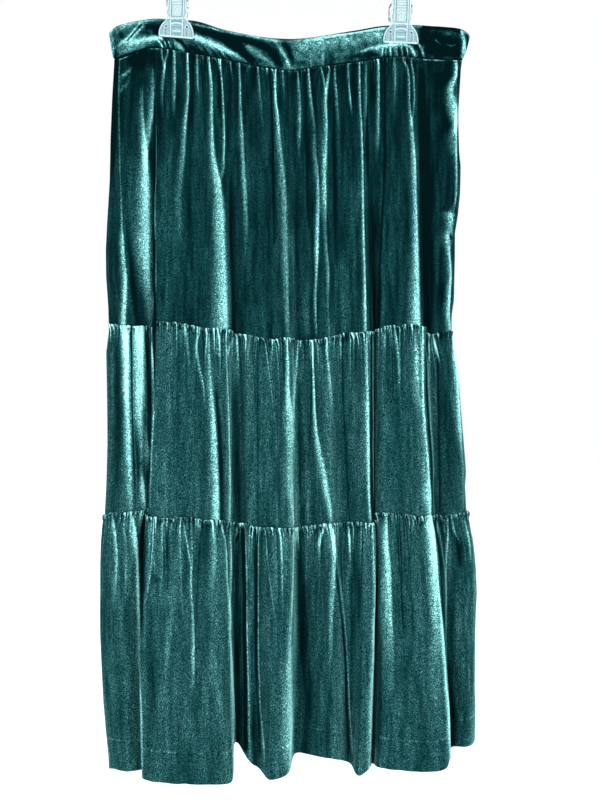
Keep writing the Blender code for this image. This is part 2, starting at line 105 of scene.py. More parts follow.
# From the right to the left, with the front's own rows at the ends.
BACK_BAND = (
    *FRONT_BAND[:-4:-1],
    Band("clip outer edge",   153,  153,  3.2, 29, 69),
    Band("clip",              131,  131,  3.2, 29, 67),
    Band("clip inner edge",   109,  109,  3.2, 29.8, 69),
    Band("right of middle",    75,   75,  6.5, 34.8, 74),
    Band("middle",              0,    0, 11.0, 43.5, 85),
    Band("left of middle",    -70,  -70,  6.5, 35, 72),
    Band("clip inner edge",  -109, -109,  3.2, 24, 64),
    Band("clip",             -131, -131,  3.2, 23, 60),
    Band("clip outer edge",  -153, -153,  3.2, 22, 57),
    *FRONT_BAND[2::-1],
)

# Fold lines from the left side to the right: x and depth at the waist, the upper seam, the lower seam and
# the hem (the waist's depth is added to the waistband's), and drop at the upper seam, lower seam and hem.
Fold = namedtuple("Fold", "name x depth drop")

FRONT_FOLDS = (
    Fold("left side",         (-204, -210, -213, -209), (0, 0, 0, 0), (379, 600, 896)),
    Fold("left turn",         (-199, -200, -205, -200), (0, 9, 12, 20), (379, 599, 893)),
    Fold("left flat",         (-184, -184, -184, -184), (0, 16, 23, 34), (381, 596, 893)),
    Fold("under left edge",   (-160, -150, -151, -160), (0, 10, 13, 21), (382, 591, 893)),
    Fold("left edge",         (-150, -157, -161, -168), (1, 23, 31, 47), (377, 599, 898)),
    Fold("left shoulder",     (-140, -146, -150, -155), (1, 26, 35, 54), (377, 602, 901)),
    Fold("wide panel",        (-112, -115, -115, -114), (0, 21, 29, 45), (380, 603, 906)),
    Fold("wide crest",         (-84,  -80,  -80,  -72), (1, 28, 36, 57), (385, 605, 903)),
    Fold("wide edge",          (-75,  -70,  -69,  -64.5), (1, 24, 31, 50), (386, 607, 901)),
    Fold("under wide edge",    (-68,  -64,  -58,  -61.5), (-1, 11, 15, 22), (389, 609, 862)),
    Fold("narrow fold",        (-52,  -48,  -48,  -46), (1, 20, 27, 37), (392, 609, 880)),
    Fold("narrow valley",      (-42,  -37,  -37,  -34), (0, 18, 24, 34), (394, 613, 890)),
    Fold("middle rise",        (-24,  -20,  -20,  -21), (1, 22, 29, 55), (396, 614, 899)),
    Fold("middle edge",        (-5,    -1,    0,   -2), (1, 30, 38, 55), (396, 614, 893)),
    Fold("under middle edge",   (6,    10,   12,    9), (-1, 14, 17, 23), (397, 613, 874)),
    Fold("middle flat",        (20,    24,   27,   28), (0, 18, 24, 30), (397, 611, 876)),
    Fold("double crest",       (36,    42,   48,   52), (1, 31, 37, 46), (395, 608, 877)),
    Fold("double valley",      (54,    61,   63,   69), (0, 18, 23, 31), (391, 608, 884)),
    Fold("slim crest",         (78,    84,   86,   80), (1, 27, 35, 52), (389, 607, 895)),
    Fold("slim edge",          (87,    94,   96,   91), (1, 23, 31, 45), (388, 608, 889)),
    Fold("slit",               (96,    99,   98,   96), (-1, 11, 14, 24), (387, 600, 886)),
    Fold("right panel edge",  (107,   106,  104,  103), (1, 22, 30, 48), (384, 597, 886)),
    Fold("right panel",       (124,   125,  130,  136), (0, 20, 28, 44), (380, 598, 891)),
    Fold("right crest",       (141,   147,  156,  178), (1, 29, 36, 52), (381, 600, 887)),
    Fold("right edge",        (150,   155,  166,  183.5), (0, 25, 31, 44), (383, 600, 878)),
    Fold("under right edge",  (160,   159,  171,  187), (0, 11, 15, 22), (389, 600, 868)),
    Fold("right flat",        (180,   174,  188,  202), (0, 15, 21, 29), (389, 600, 866)),
    Fold("right turn",        (197,   186,  202,  212), (0, 9, 12, 16), (386, 598, 864)),
    Fold("right side",        (203,   190,  207,  216), (0, 0, 0, 0), (385, 597, 861)),
)

# How far the side outlines stand outside the straight lines between the levels: rows of drop and shift.
LEFT_OUTLINE = ((75, 0), (113, 1.5), (161, 2.5), (210, 2.5), (258, 4.5), (291, 5.5), (323, 4.5), (356, 1.5),
                (386, 0), (412, 3), (437, 2), (470, 1), (517, 0), (559, 0.5), (597, 2), (693, 2.3),
                (741, 3.4), (821, 3.4), (853, 2.3), (880, 1))
RIGHT_OUTLINE = ((36, 1.5), (55, 0.5), (80, -2), (129, -3), (150, -2), (178, 0), (194, 2.4), (224, 3),
                 (250, 1.6), (272, -1), (300, 0), (350, 1), (369, -1), (390, 0), (405, 0), (421, 2),
                 (437, 3.4), (550, 3.4), (566, 1), (600, 0), (613, 0), (629, 1.6), (661, 2.6), (693, 2.6),
                 (709, 1.4), (741, 0), (800, 0), (821, 1), (860, 1))

# The back's fold lines from the right side to the left: x at the same levels, and rise, 0 in a valley and 1
# on a crest.
BackFold = namedtuple("BackFold", "name x rise")

BACK_FOLDS = (
    BackFold("turn, right",      (198,  186,  201,  211), 0.05),
    BackFold("flat, right",      (182,  174,  186,  196), 0.45),
    BackFold("valley 1",         (158,  152,  160,  170), 0.0),
    BackFold("crest 1",          (140,  134,  140,  148), 0.9),
    BackFold("slope 1",          (112,  110,  112,  116), 0.4),
    BackFold("valley 2",          (96,   92,   92,   94), 0.0),
    BackFold("crest 2",           (76,   70,   70,   70), 1.0),
    BackFold("valley 3",          (54,   48,   46,   44), 0.1),
    BackFold("crest 3",           (30,   26,   24,   20), 0.8),
    BackFold("slope 3",            (4,    2,   -2,   -6), 0.35),
    BackFold("valley 4",         (-18,  -20,  -22,  -24), 0.0),
    BackFold("crest 4",          (-38,  -42,  -44,  -48), 1.0),
    BackFold("slope 4",          (-64,  -66,  -68,  -72), 0.5),
    BackFold("valley 5",         (-86,  -86,  -86,  -88), 0.05),
    BackFold("crest 5",         (-108, -106, -108, -112), 0.85),
    BackFold("valley 6",        (-134, -132, -134, -136), 0.1),
    BackFold("crest 6",         (-158, -156, -160, -162), 0.7),
    BackFold("flat, left",      (-184, -182, -184, -184), 0.35),
    BackFold("turn, left",      (-199, -201, -205, -200), 0.05),
)
# Depths of a valley and a crest at the waist, both seams and the hem. Then, for all of these but the waist,
# how far the middle hangs below a straight line and how much lower a crest is than a valley.
BACK_VALLEY = (-0.5, 11, 15, 23)
BACK_CREST = (1.0, 26, 34, 50)
BACK_SAG = (9, 7, -22)
BACK_LIFT = (2, 2, 10)
BACK_LEVEL_RISE = 0.2       # a fold of this rise hangs neither lower nor higher

# Colours of the pile from 0, darkest, to 1, lightest; the palest stops are the colour of painted highlights.
PILE_COLORS = (
    (0.0, (0.0005, 0.0060, 0.0070)),
    (0.12, (0.0018, 0.0200, 0.0224)),
    (0.26, (0.0075, 0.0500, 0.0528)),
    (0.40, (0.0225, 0.0950, 0.1005)),
    (0.55, (0.0530, 0.1700, 0.1750)),
    (0.74, (0.1300, 0.3700, 0.3700)),
    (0.90, (0.2900, 0.7700, 0.7500)),
    (1.0, (0.4600, 0.9400, 0.9200)),
)
# Colours of the clear plastic from dark to light, picked by its painted highlight and shade.
PLASTIC_COLORS = (
    (0.0, (0.06, 0.15, 0.19)),
    (0.3, (0.20, 0.38, 0.46)),
    (0.5, (0.33, 0.56, 0.64)),
    (0.62, (0.54, 0.72, 0.74)),
    (0.8, (0.68, 0.88, 0.89)),
    (1.0, (0.80, 0.97, 0.97)),
)
# Greys: painted highlight and shade of fine pleats below a seam, and the grain's strength by lightness.
PAINTED_PLEAT_GREYS = ((0.36, 0.0), (0.45, 0.3), (0.52, 0.3), (0.63, 1.0))
GRAIN = ((0.0, 0.10), (0.15, 0.36), (0.30, 0.72), (0.6, 0.9), (1.0, 0.9))
# How light each velvet is before anything is added to it: the upper tier darker than the rest.
TONES = {"upper": 0.137, "lower": 0.260, "band": 0.235}

# Strokes of painted highlight (shine above 0) or painted shade (below 0): rows of x, drop, half width, shine.
# A light stroke lies on the right-hand flank of a soft ridge it raises, and a dark one in a trough it lowers.
UPPER_STROKES = {
    # left side strip
    "left strip, wide": ((-171.2, 108, 2, 0.4), (-170.5, 130, 2.6, 0.6), (-168.9, 154, 3.4, 0.7),
        (-166.8, 180, 4.8, 0.82), (-165.8, 205, 6.6, 0.88), (-165.5, 235, 8.6, 0.9), (-166, 258, 9.4, 0.88),
        (-165.8, 282, 9.8, 0.88), (-165, 300, 9.2, 0.84), (-164.4, 318, 7.4, 0.74), (-163, 338, 6, 0.65),
        (-161.8, 356, 4.4, 0.5), (-160.6, 378, 3, 0.3)),
    "left strip, arm": ((-157.3, 84, 2, 0.35), (-157.6, 108, 3, 0.7), (-159, 131, 3.6, 0.8),
        (-162, 154, 3.4, 0.75), (-164.5, 176, 3, 0.5), (-165.5, 195, 2.4, 0.1)),
    "left strip, edge": ((-195, 229, 1.1, 0.1), (-194, 262, 1.4, 0.5), (-193, 275, 2.4, 0.8),
        (-191, 305, 3, 0.9), (-189, 330, 3.2, 0.9), (-190, 358, 3.4, 0.9), (-191, 382, 4, 0.8)),
    "left strip, patch": ((-182, 79, 1.4, 0.15), (-186, 84, 2.4, 0.45), (-192, 89.5, 3, 0.6),
        (-194.5, 93, 2, 0.2)),
    "left strip, hollow": ((-189, 262, 2, -0.1), (-184, 305, 4, -0.3), (-180, 350, 4, -0.3),
        (-176, 376, 4, -0.28)),
    "left edge, line": ((-157, 66, 0.8, -0.42), (-157, 160, 0.8, -0.56), (-157, 262, 0.9, -0.7),
        (-156.5, 290, 1.8, -1.1), (-156.5, 330, 1, -0.8), (-156, 380, 2, -1.4)),
    # gathers below the waistband, left to right
    "gather 1, arm": ((-148, 61, 1.2, 0.5), (-146.5, 70, 1.3, 0.6), (-144.5, 77, 1.4, 0.5)),
    "gather 1": ((-141, 61, 1.2, 0.5), (-143.5, 72, 1.4, 0.6), (-145.5, 90, 2, 0.6), (-147, 108, 2, 0.5),
        (-147, 131, 2, 0.1)),
    "gather 2": ((-133, 62, 1.4, 0.6), (-132.5, 85, 2, 0.65), (-133, 119, 2, 0.55),
        (-133.5, 136, 1.6, 0.05)),
    "gather 3": ((-118, 66, 1.2, 0.7), (-117, 108, 2, 0.75), (-120, 144, 2.6, 0.75), (-122, 177, 3, 0.5),
        (-124.5, 206, 3.6, 0.4), (-126.5, 235, 3.6, 0.25), (-126.5, 262, 3.6, 0.15), (-125, 285, 3, 0)),
    "crease 3": ((-112, 68, 0.8, -0.3), (-112, 166, 0.9, -0.15)),
    "gather 4": ((-106.5, 68, 1.2, 0.5), (-106, 96, 1.3, 0.5), (-104.5, 116, 1.2, 0.05)),
    "gather 5": ((-93, 70, 1.4, 0.75), (-90, 98, 2, 0.8), (-89, 142, 2.5, 0.8), (-87, 182, 3.2, 0.8),
        (-82.5, 208, 4.8, 0.86), (-79, 232, 6.2, 0.88), (-77.5, 262, 6.8, 0.88), (-76.6, 290, 7, 0.9),
        (-76, 320, 7.8, 0.9), (-75.4, 350, 8.4, 0.88), (-74.6, 380, 8.8, 0.85)),
    "gather 6": ((-80, 72, 1.1, 0.7), (-77, 108, 1.1, 0.75), (-75, 151, 1.4, 0.8), (-75, 176, 1.6, 0.8),
        (-76, 200, 2, 0.6), (-79, 212, 2.5, 0.3)),
    "gather 7": ((-68, 76, 1.1, 0.45), (-64.5, 96, 1.1, 0.05)),
    "wide edge, shade": ((-68, 190, 1.5, -0.1), (-68, 235, 3, -0.3), (-67.5, 300, 3.4, -0.35),
        (-67, 388, 3.2, -0.35)),
    "gather 8": ((-57, 78, 1.2, 0.6), (-55.5, 125, 1.8, 0.65), (-53.5, 166, 2.4, 0.65), (-52, 200, 3, 0.6),
        (-49.5, 246, 2.8, 0.5), (-49, 272, 2.6, 0.35), (-51, 300, 2.6, 0.2), (-53, 325, 3, 0)),
    "gather 9": ((-36, 82, 1.1, 0.4), (-32.5, 120, 1.6, 0.4), (-30, 153, 1.6, 0)),
    "crease 9": ((-23, 84, 0.9, -0.3), (-20, 140, 1.2, -0.35), (-19, 200, 1.8, -0.3), (-17, 280, 2.4, -0.2)),
    "gather 10": ((-15.5, 84, 1.3, 0.75), (-15, 119, 1.8, 0.9), (-12.5, 140, 2.4, 0.8),
        (-10, 176, 3.4, 0.52), (-6.5, 203, 4, 0.5), (-4.5, 236, 4, 0.55), (-4, 264, 4, 0.5),
        (-3, 300, 3.5, 0.45), (-1.5, 345, 2.4, 0.5), (-1, 392, 2, 0.25)),
    "gather 11": ((-7, 84, 1.2, 0.45), (-4.5, 127, 1.2, 0.05)),
    "gather 12": ((10.5, 84, 1.3, 0.5), (13, 125, 2, 0.6), (12.5, 161, 2.2, 0.5), (11.5, 186, 2, 0.05)),
    "crease 12": ((19, 90, 1, -0.2), (20, 180, 1.4, -0.25), (22, 260, 2, -0.1)),
    "gather 13": ((23, 84, 1.3, 0.6), (26, 119, 1.8, 0.65), (29.5, 148, 2, 0.35), (30.5, 177, 2.4, 0.45),
        (33.5, 207, 2.4, 0.7), (34.5, 240, 2.4, 0.75), (34, 264, 2.8, 0.8), (33.2, 293, 2.6, 0.95),
        (32, 322, 1.8, 0.8), (31, 351, 1.6, 0.75), (32, 384, 1.4, 0.5)),
    "gather 14, arm": ((38.5, 84, 1.1, 0.5), (42.5, 105, 1.4, 0.5)),
    "gather 14": ((47, 84, 1.1, 0.5), (44.5, 102, 1.8, 0.8), (43, 119, 2.4, 0.9), (43.5, 148, 2.6, 0.8),
        (42.5, 177, 3, 0.8), (41.5, 206, 3, 0.75), (42, 235, 3, 0.75), (42, 262, 2.4, 0.4),
        (43.5, 293, 1.8, 0.5), (45.5, 322, 1.8, 0.65), (45, 351, 1.5, 0.4), (47, 390, 1.4, 0.4)),
    "crease 14": ((52, 110, 1, -0.2), (52, 200, 2.4, -0.25), (54, 300, 2.6, -0.15)),
    "gather 15": ((53, 82, 1.2, 0.5), (56.5, 125, 1.8, 0.4), (58.5, 156, 1.8, 0)),
    "gather 16": ((69, 78, 1.2, 0.5), (70, 100, 1.2, 0.6), (71.7, 119, 1.4, 0.85), (73.5, 136, 1.3, 0.1)),
    "gather 17": ((82, 76, 1.2, 0.75), (83, 125, 1.4, 0.75), (85, 165, 1.4, 0.75), (86, 235, 1.4, 0.85),
        (86.5, 272, 1.5, 0.95), (87.5, 315, 1.6, 0.9), (88.2, 350, 1.7, 0.95), (88.5, 390, 2, 0.6)),
    "slim edge, shade": ((89, 140, 1.5, -0.3), (92.5, 220, 3, -0.35), (94, 300, 3.2, -0.45),
        (95, 388, 3.2, -0.5)),
    "gather 18": ((90, 76, 1.3, 0.5), (89.5, 125, 1.6, 0.55), (88.5, 161, 1.5, 0.05)),
    "gather 19": ((105, 72, 1.6, 0.6), (104.5, 125, 2.3, 0.65), (103.5, 165, 2.7, 0.5),
        (102.5, 186, 2.6, 0.1)),
    "crease 19": ((111, 72, 1, -0.3), (111, 165, 1.3, -0.35), (109, 230, 1.4, -0.4), (105.5, 300, 1.4, -0.4),
        (103, 382, 1.6, -0.4)),
    "gather 20": ((123, 72, 1.3, 0.4), (124, 94, 1.4, 0.5), (122.5, 128, 1.4, 0.1)),
    "gather 21": ((133, 70, 1.2, 0.5), (138.5, 81, 1.3, 0.6), (140.5, 125, 1.8, 0.65),
        (142.5, 144, 2.4, 0.7), (145.5, 186, 3, 0.8), (146.5, 224, 3.2, 0.8), (147.5, 264, 3.4, 0.85),
        (148, 300, 4.2, 0.82), (148, 340, 5.6, 0.85), (148, 380, 7, 0.85)),
    "gather 22": ((142.5, 73, 1.1, 0.5), (145, 87, 1.1, 0.6), (146, 119, 1.1, 0.6), (143.5, 143, 1.3, 0.4)),
    "right hollow": ((152.5, 86, 3, -0.45), (153, 120, 4.4, -0.7), (154, 150, 5, -0.8),
        (155, 206, 5.6, -0.85), (155.5, 262, 5.8, -0.85), (156, 320, 5.8, -0.8), (157, 388, 5.6, -0.7)),
    "right edge": ((195, 76, 2.6, 0.75), (194, 90, 3, 0.85), (190.5, 99, 5, 0.9), (189, 106, 5.6, 0.9),
        (190.5, 118, 6.6, 1), (192.5, 133, 5.8, 1), (194, 148, 3.4, 0.9), (190, 160, 5.4, 0.5),
        (191, 172, 5.4, 0.45), (193, 188, 4, 0.2), (194, 235, 2, 0.1), (188.5, 247, 3, 0.3),
        (188, 251, 6, 0.9), (189, 258, 5, 0.85), (188.5, 265, 4.4, 0.75), (186.6, 277, 5.8, 0.95),
        (186, 285, 4.8, 0.85), (186.3, 293, 3, 0.9), (188, 320, 2.8, 0.95), (186.5, 345, 3, 0.95),
        (185, 365, 3.4, 0.9), (187.5, 386, 3.8, 0.7)),
    "right flat": ((176, 90, 14, -0.16), (178, 200, 16, -0.18), (180, 385, 14, -0.14)),
    "middle, low": ((-40, 290, 10, 0), (-20, 340, 16, 0.05), (-20, 390, 16, 0.06)),
    "left strip, front edge": ((-197.2, 72, 0.9, 0.35), (-197.9, 108, 0.9, 0.45), (-197.2, 154, 0.9, 0.4),
        (-196.2, 200, 0.9, 0.35), (-194.8, 235, 0.9, 0.3), (-193.4, 262, 0.9, 0.2)),
    "left strip, second": ((-157.5, 340, 1.2, 0.1), (-157.6, 351, 1.2, 0.6), (-158, 372, 1.2, 0.3)),
    "left edge, light": ((-154.7, 150, 0.8, 0.2), (-154.4, 200, 0.8, 0.25), (-154.2, 262, 0.8, 0.3),
        (-153.4, 330, 0.9, 0.35), (-153.4, 345, 0.8, 0.1)),
    "right edge, rim": ((195, 80, 1.4, 0.2), (195, 120, 1.6, 0.4), (194.6, 146, 2.2, 0.9),
        (195, 175, 1.8, 0.85), (195.6, 205, 1.5, 0.75), (194.4, 232, 1.5, 0.7), (192, 246, 1.2, 0.4)),
    "left strip, patch 2": ((-186, 96, 1.4, 0.1), (-190, 101, 2.4, 0.45), (-194.5, 106, 2.4, 0.5),
        (-196, 110, 1.6, 0.1)),
    "left strip, side": ((-203, 70, 3.4, -0.35), (-205, 95, 3.8, -0.6), (-204.5, 115, 3.6, -0.6),
        (-205, 150, 3.6, -0.55), (-206, 185, 3.2, -0.35), (-207, 225, 2.4, 0)),
    "left strip, top": ((-180, 62, 16, -0.35), (-178, 72, 17, -0.3), (-176, 84, 16, 0)),
    "right strip, seam": ((160, 70, 0.8, 0.05), (161, 150, 0.8, 0.15), (162, 262, 0.8, 0.22),
        (163, 330, 0.8, 0.25), (164, 385, 0.8, 0.15)),
    "right edge, hole": ((187, 272, 0.8, -0.2), (187, 277, 1.8, -1.5), (186.8, 282, 0.8, -0.2)),
    "slim edge, low": ((68, 280, 4, 0.05), (68, 315, 6, 0.15), (68, 360, 7, 0.18), (69, 385, 6, 0.12)),
    "middle flat, low": ((21, 305, 4, 0.05), (21.5, 345, 5.5, 0.18), (22, 385, 5.5, 0.2)),
    "crest, top dark": ((-81, 84, 2.4, -0.18), (-81, 115, 3, -0.25), (-80.4, 145, 2.6, -0.08)),
    "middle edge, low": ((4, 262, 4, 0.06), (4, 295, 5, 0.22), (4, 330, 4, 0.08)),
    "gather 6, dark": ((-71.4, 125, 2.3, -0.12), (-71, 150, 2.5, -0.22), (-71, 175, 2.3, -0.12)),
}

MIDDLE_STROKES = {
    "left strip, 1": ((-187.5, 382, 4.8, 0.9), (-187, 420, 4.8, 0.95), (-186.5, 461, 4.6, 0.95),
        (-185.5, 484, 4, 0.85), (-185, 507, 4.2, 0.75), (-184, 530, 4.2, 0.7), (-183, 553, 3.6, 0.55),
        (-182.5, 576, 3.4, 0.5), (-181.5, 590, 3, 0.3)),
    "left strip, crease": ((-182.9, 386, 0.9, -0.9), (-182.3, 427, 0.9, -0.8), (-181.5, 470, 0.8, -0.6),
        (-180.3, 513, 0.9, -0.5), (-178.6, 556, 0.9, -0.4), (-177.2, 586, 0.9, -0.3)),
    "left strip, 2": ((-172.4, 382, 7.6, 0.95), (-171.8, 432, 8, 0.95), (-172, 461, 7.8, 0.92),
        (-172.6, 484, 6, 0.78), (-172, 500, 5, 0.65), (-171.4, 516, 4.4, 0.55), (-170.6, 532, 3.6, 0.4),
        (-170, 546, 3, 0.2)),
    "left strip, hollow": ((-166, 386, 2.4, -0.35), (-163.5, 440, 4, -0.4), (-162, 500, 4, -0.35),
        (-164, 560, 2.5, -0.3)),
    "left edge, light": ((-158.9, 386, 1.3, 0.8), (-156.6, 426, 1.4, 0.7), (-155.3, 461, 1.2, 0.6),
        (-156.4, 495, 1.3, 0.5), (-158.4, 536, 1.3, 0.4), (-159.3, 585, 1.2, 0.3)),
    "left edge, dark": ((-155.5, 380, 1.6, -1.5), (-155.5, 408, 1.2, -0.9), (-155.5, 470, 0.8, -0.45)),
    "pin 1": ((-119, 382, 1.3, 0.4), (-117, 402, 1.5, 0.4), (-114, 430, 1.4, 0.05)),
    "pin 2": ((-102.5, 386, 1.3, 0.6), (-106, 402, 1.6, 0.65), (-104, 424, 1.8, 0.6), (-99, 446, 1.8, 0.45),
        (-97, 458, 1.4, 0.1)),
    "wide crest": ((-91.5, 385, 1.2, 0.5), (-91, 420, 1.9, 0.5), (-89, 456, 3, 0.62), (-86.5, 484, 3.8, 0.7),
        (-85, 507, 4.2, 0.7), (-83.8, 530, 4.6, 0.65), (-83, 553, 5, 0.65), (-82.3, 576, 5.4, 0.7),
        (-82, 600, 5.4, 0.7)),
    "wide edge, shade": ((-84, 461, 1.6, -0.35), (-82, 484, 2, -0.4), (-80.5, 507, 2.6, -0.5),
        (-79.5, 530, 3, -0.55), (-78.5, 560, 3.4, -0.55), (-78, 600, 3, -0.45)),
    "pin 3": ((-79.5, 390, 1.4, 0.5), (-78.5, 440, 1.4, 0.1)),
    "pin 4": ((-86, 390, 1.1, 0.4), (-85, 404, 1.1, 0.3)),
    "narrow fold": ((-72.5, 390, 0.8, 0.35), (-71.5, 432, 0.8, 0.38), (-70.3, 461, 0.9, 0.5),
        (-69, 492, 0.9, 0.6), (-68.3, 530, 1, 0.6), (-67.6, 560, 1, 0.58), (-68, 604, 1.4, 0.5)),
    "narrow fold, arm": ((-64, 394, 1.1, 0.4), (-70, 411, 1.2, 0.4)),
    "narrow fold, shade": ((-66.5, 430, 1.4, -0.15), (-65, 461, 2.2, -0.25), (-64, 500, 3.2, -0.35),
        (-63.5, 560, 4, -0.4), (-63, 600, 4, -0.3)),
    "pin 5": ((-59, 394, 1.3, 0.55), (-58, 446, 1.4, 0.05)),
    "crease 5": ((-52.5, 500, 0.8, -0.12), (-52, 604, 0.9, -0.15)),
    "crease 6": ((-36.5, 418, 0.8, -0.12), (-36, 500, 1.1, -0.17), (-36, 606, 1.3, -0.17)),
    "pin 6": ((-17, 398, 1.2, 0.4), (-20, 424, 1.3, 0.1)),
    "middle edge": ((-2, 398, 1.1, 0.5), (-1, 425, 1.7, 0.6), (-1, 450, 2.4, 0.78), (1, 484, 5, 0.65),
        (2, 507, 5, 0.6), (2, 530, 4.8, 0.42), (2, 553, 4.4, 0.45), (3.3, 576, 3.4, 0.5), (4, 588, 2.4, 0.5),
        (5, 606, 1.8, 0.5)),
    "middle edge, arm": ((10, 398, 1.2, 0.5), (9, 425, 1.4, 0.5), (6.5, 461, 2.2, 0.5), (5, 484, 2.6, 0.3)),
    "middle edge, shade": ((12, 450, 3, -0.15), (13, 520, 4, -0.2), (14, 600, 4, -0.2)),
    "double crest": ((27, 394, 1.2, 0.7), (28.5, 430, 1.4, 0.8), (29.5, 461, 1.6, 0.95),
        (30.5, 484, 1.8, 0.95), (32.5, 507, 2.6, 0.75), (36.5, 530, 3.8, 0.65), (41, 553, 4.8, 0.65),
        (45, 576, 4, 0.65), (48, 595, 2.6, 0.6), (48.5, 607, 1.6, 0.4)),
    "pin 7": ((44.5, 394, 1, 0.45), (45, 420, 1.4, 0.5), (48, 452, 1.9, 0.5), (49.5, 486, 1.6, 0.05)),
    "pin 8": ((36, 394, 1.1, 0.4), (37, 412, 1.1, 0.1)),
    "crease 8": ((60, 400, 1, -0.15), (63, 470, 1.6, -0.25), (67, 560, 2.4, -0.2), (70, 600, 2, -0.1)),
    "slim crest": ((89, 392, 1.3, 0.5), (90, 444, 1.8, 0.55), (91, 484, 2.4, 0.72), (91.5, 520, 2.4, 0.8),
        (91.8, 553, 2, 0.85), (92.3, 576, 1.6, 0.95), (93.5, 600, 1.5, 0.7)),
    "slit": ((93.8, 395, 0.8, -0.6), (94.2, 430, 0.9, -1.2), (94.5, 470, 1, -1.6), (94.7, 530, 1.1, -1.8),
        (95, 560, 1.1, -1.8), (96.5, 602, 1.2, -1.5)),
    "pin 9": ((122.5, 384, 1.3, 0.5), (126.5, 410, 1.6, 0.55), (127.5, 434, 1.6, 0.45),
        (127.5, 466, 1.4, 0.05)),
    "pin 10": ((111, 386, 1.1, 0.3), (111, 430, 1.4, 0)),
    "right crest, glow": ((146, 388, 2, 0.3), (148, 420, 3.6, 0.6), (149.5, 461, 4, 0.4), (153, 484, 3, 0.2),
        (156, 553, 3, 0.2), (158, 576, 4, 0.3)),
    "right crest": ((153.5, 386, 1.4, 0.6), (154.2, 430, 2, 0.75), (154.6, 461, 1.8, 0.85),
        (155.8, 484, 1.8, 0.8), (157.5, 507, 1.8, 0.65), (159.5, 530, 2, 0.7), (160.7, 553, 2.2, 0.7),
        (162, 576, 3, 0.7), (162, 596, 3, 0.6)),
    "right edge, shade": ((156.8, 388, 1.6, -0.5), (158.7, 450, 1.6, -0.6), (161.4, 507, 1.8, -0.65),
        (163.6, 530, 2, -0.7), (165, 560, 2.4, -0.7), (166.5, 596, 2.6, -0.5)),
    "right edge": ((190, 386, 2.2, 0.8), (192.3, 400, 2.8, 0.9), (193.8, 420, 3, 0.9),
        (195.2, 444, 3.2, 0.85), (197.6, 480, 3.3, 0.8), (199.6, 507, 3, 0.6), (202, 530, 2, 0.3),
        (203, 590, 1.5, 0.1)),
    "right flat": ((178, 390, 14, -0.16), (184, 500, 14, -0.18), (190, 590, 12, -0.16)),
    "wide crest, arm": ((-97, 440, 1.6, 0.1), (-97.5, 461, 1.6, 0.45), (-96, 474, 1.6, 0.2)),
    "double crest, flat": ((52, 430, 8, 0), (56, 480, 10, -0.12), (58, 540, 10, -0.08), (60, 590, 8, 0)),
    "slit, light": ((97, 440, 0.8, 0.12), (97.4, 500, 0.8, 0.2), (97.6, 553, 0.8, 0.2), (98, 590, 0.8, 0.1)),
    "left strip, low": ((-178, 486, 2, -0.1), (-176, 515, 4, -0.5), (-174, 545, 3.6, -0.5),
        (-175, 575, 2.4, -0.3)),
    "left strip, side": ((-202, 388, 6, -0.1), (-200, 420, 8, -0.24), (-200, 500, 9, -0.24),
        (-201, 555, 7, -0.08)),
    "left strip, spot": ((-166, 500, 1.6, 0.1), (-164, 515, 3, 0.4), (-163, 530, 3.4, 0.6),
        (-163.5, 543, 2.4, 0.3)),
    "left strip, 3": ((-170.5, 548, 2, 0.2), (-169.5, 560, 3.2, 0.8), (-168, 576, 3.4, 0.95),
        (-167, 592, 3, 0.6)),
    "far strip, hook": ((167.5, 390, 0.9, 0.4), (168.6, 396, 1.2, 0.8), (170.2, 404, 1.5, 0.9),
        (172, 412, 1.4, 0.85), (174, 420, 1.1, 0.4), (175.6, 428, 0.8, 0.05)),
    "far strip, hook 2": ((162.5, 392, 1, 0.3), (163, 402, 1.3, 0.6), (163.5, 420, 1.4, 0.5),
        (164, 440, 1, 0.1)),
    "far strip, dark": ((171.5, 412, 1, 0), (171.5, 425, 1.3, -0.25), (172.4, 470, 1.5, -0.3),
        (173.4, 520, 1.6, -0.3), (174.6, 590, 1.6, -0.25)),
    "far strip, light": ((162, 396, 2.2, 0.05), (163, 440, 2.4, 0.1), (165.5, 500, 2.2, 0.08),
        (168, 560, 1.6, 0.04)),
    "slim crest, flat": ((76, 396, 4, -0.22), (78, 430, 5, -0.16), (80, 470, 5, -0.05)),
    "wide panel, top": ((-98, 392, 4, -0.2), (-98, 420, 4, -0.16), (-98, 450, 3, 0)),
    "narrow fold, gap": ((-60.5, 398, 4, 0.2), (-60.5, 430, 4.4, 0.22), (-60.5, 460, 4, 0.05)),
    "right panel, flat": ((114, 396, 4, -0.1), (114, 435, 5, -0.2), (114, 475, 5, -0.05)),
    "middle flat, low": ((22, 540, 5, 0.06), (22, 575, 5.4, 0.2), (22, 602, 4, 0.18)),
    "middle rise, low": ((-14, 565, 4, 0.06), (-14, 590, 4, 0.22), (-14, 606, 3.6, 0.2)),
    "double crest, top dark": ((39, 396, 3, -0.15), (40, 425, 3, -0.12), (40.5, 445, 2.4, 0)),
    "middle flat, seam": ((12, 575, 4, 0.06), (12, 592, 4, 0.2), (12, 606, 3.6, 0.2)),
}

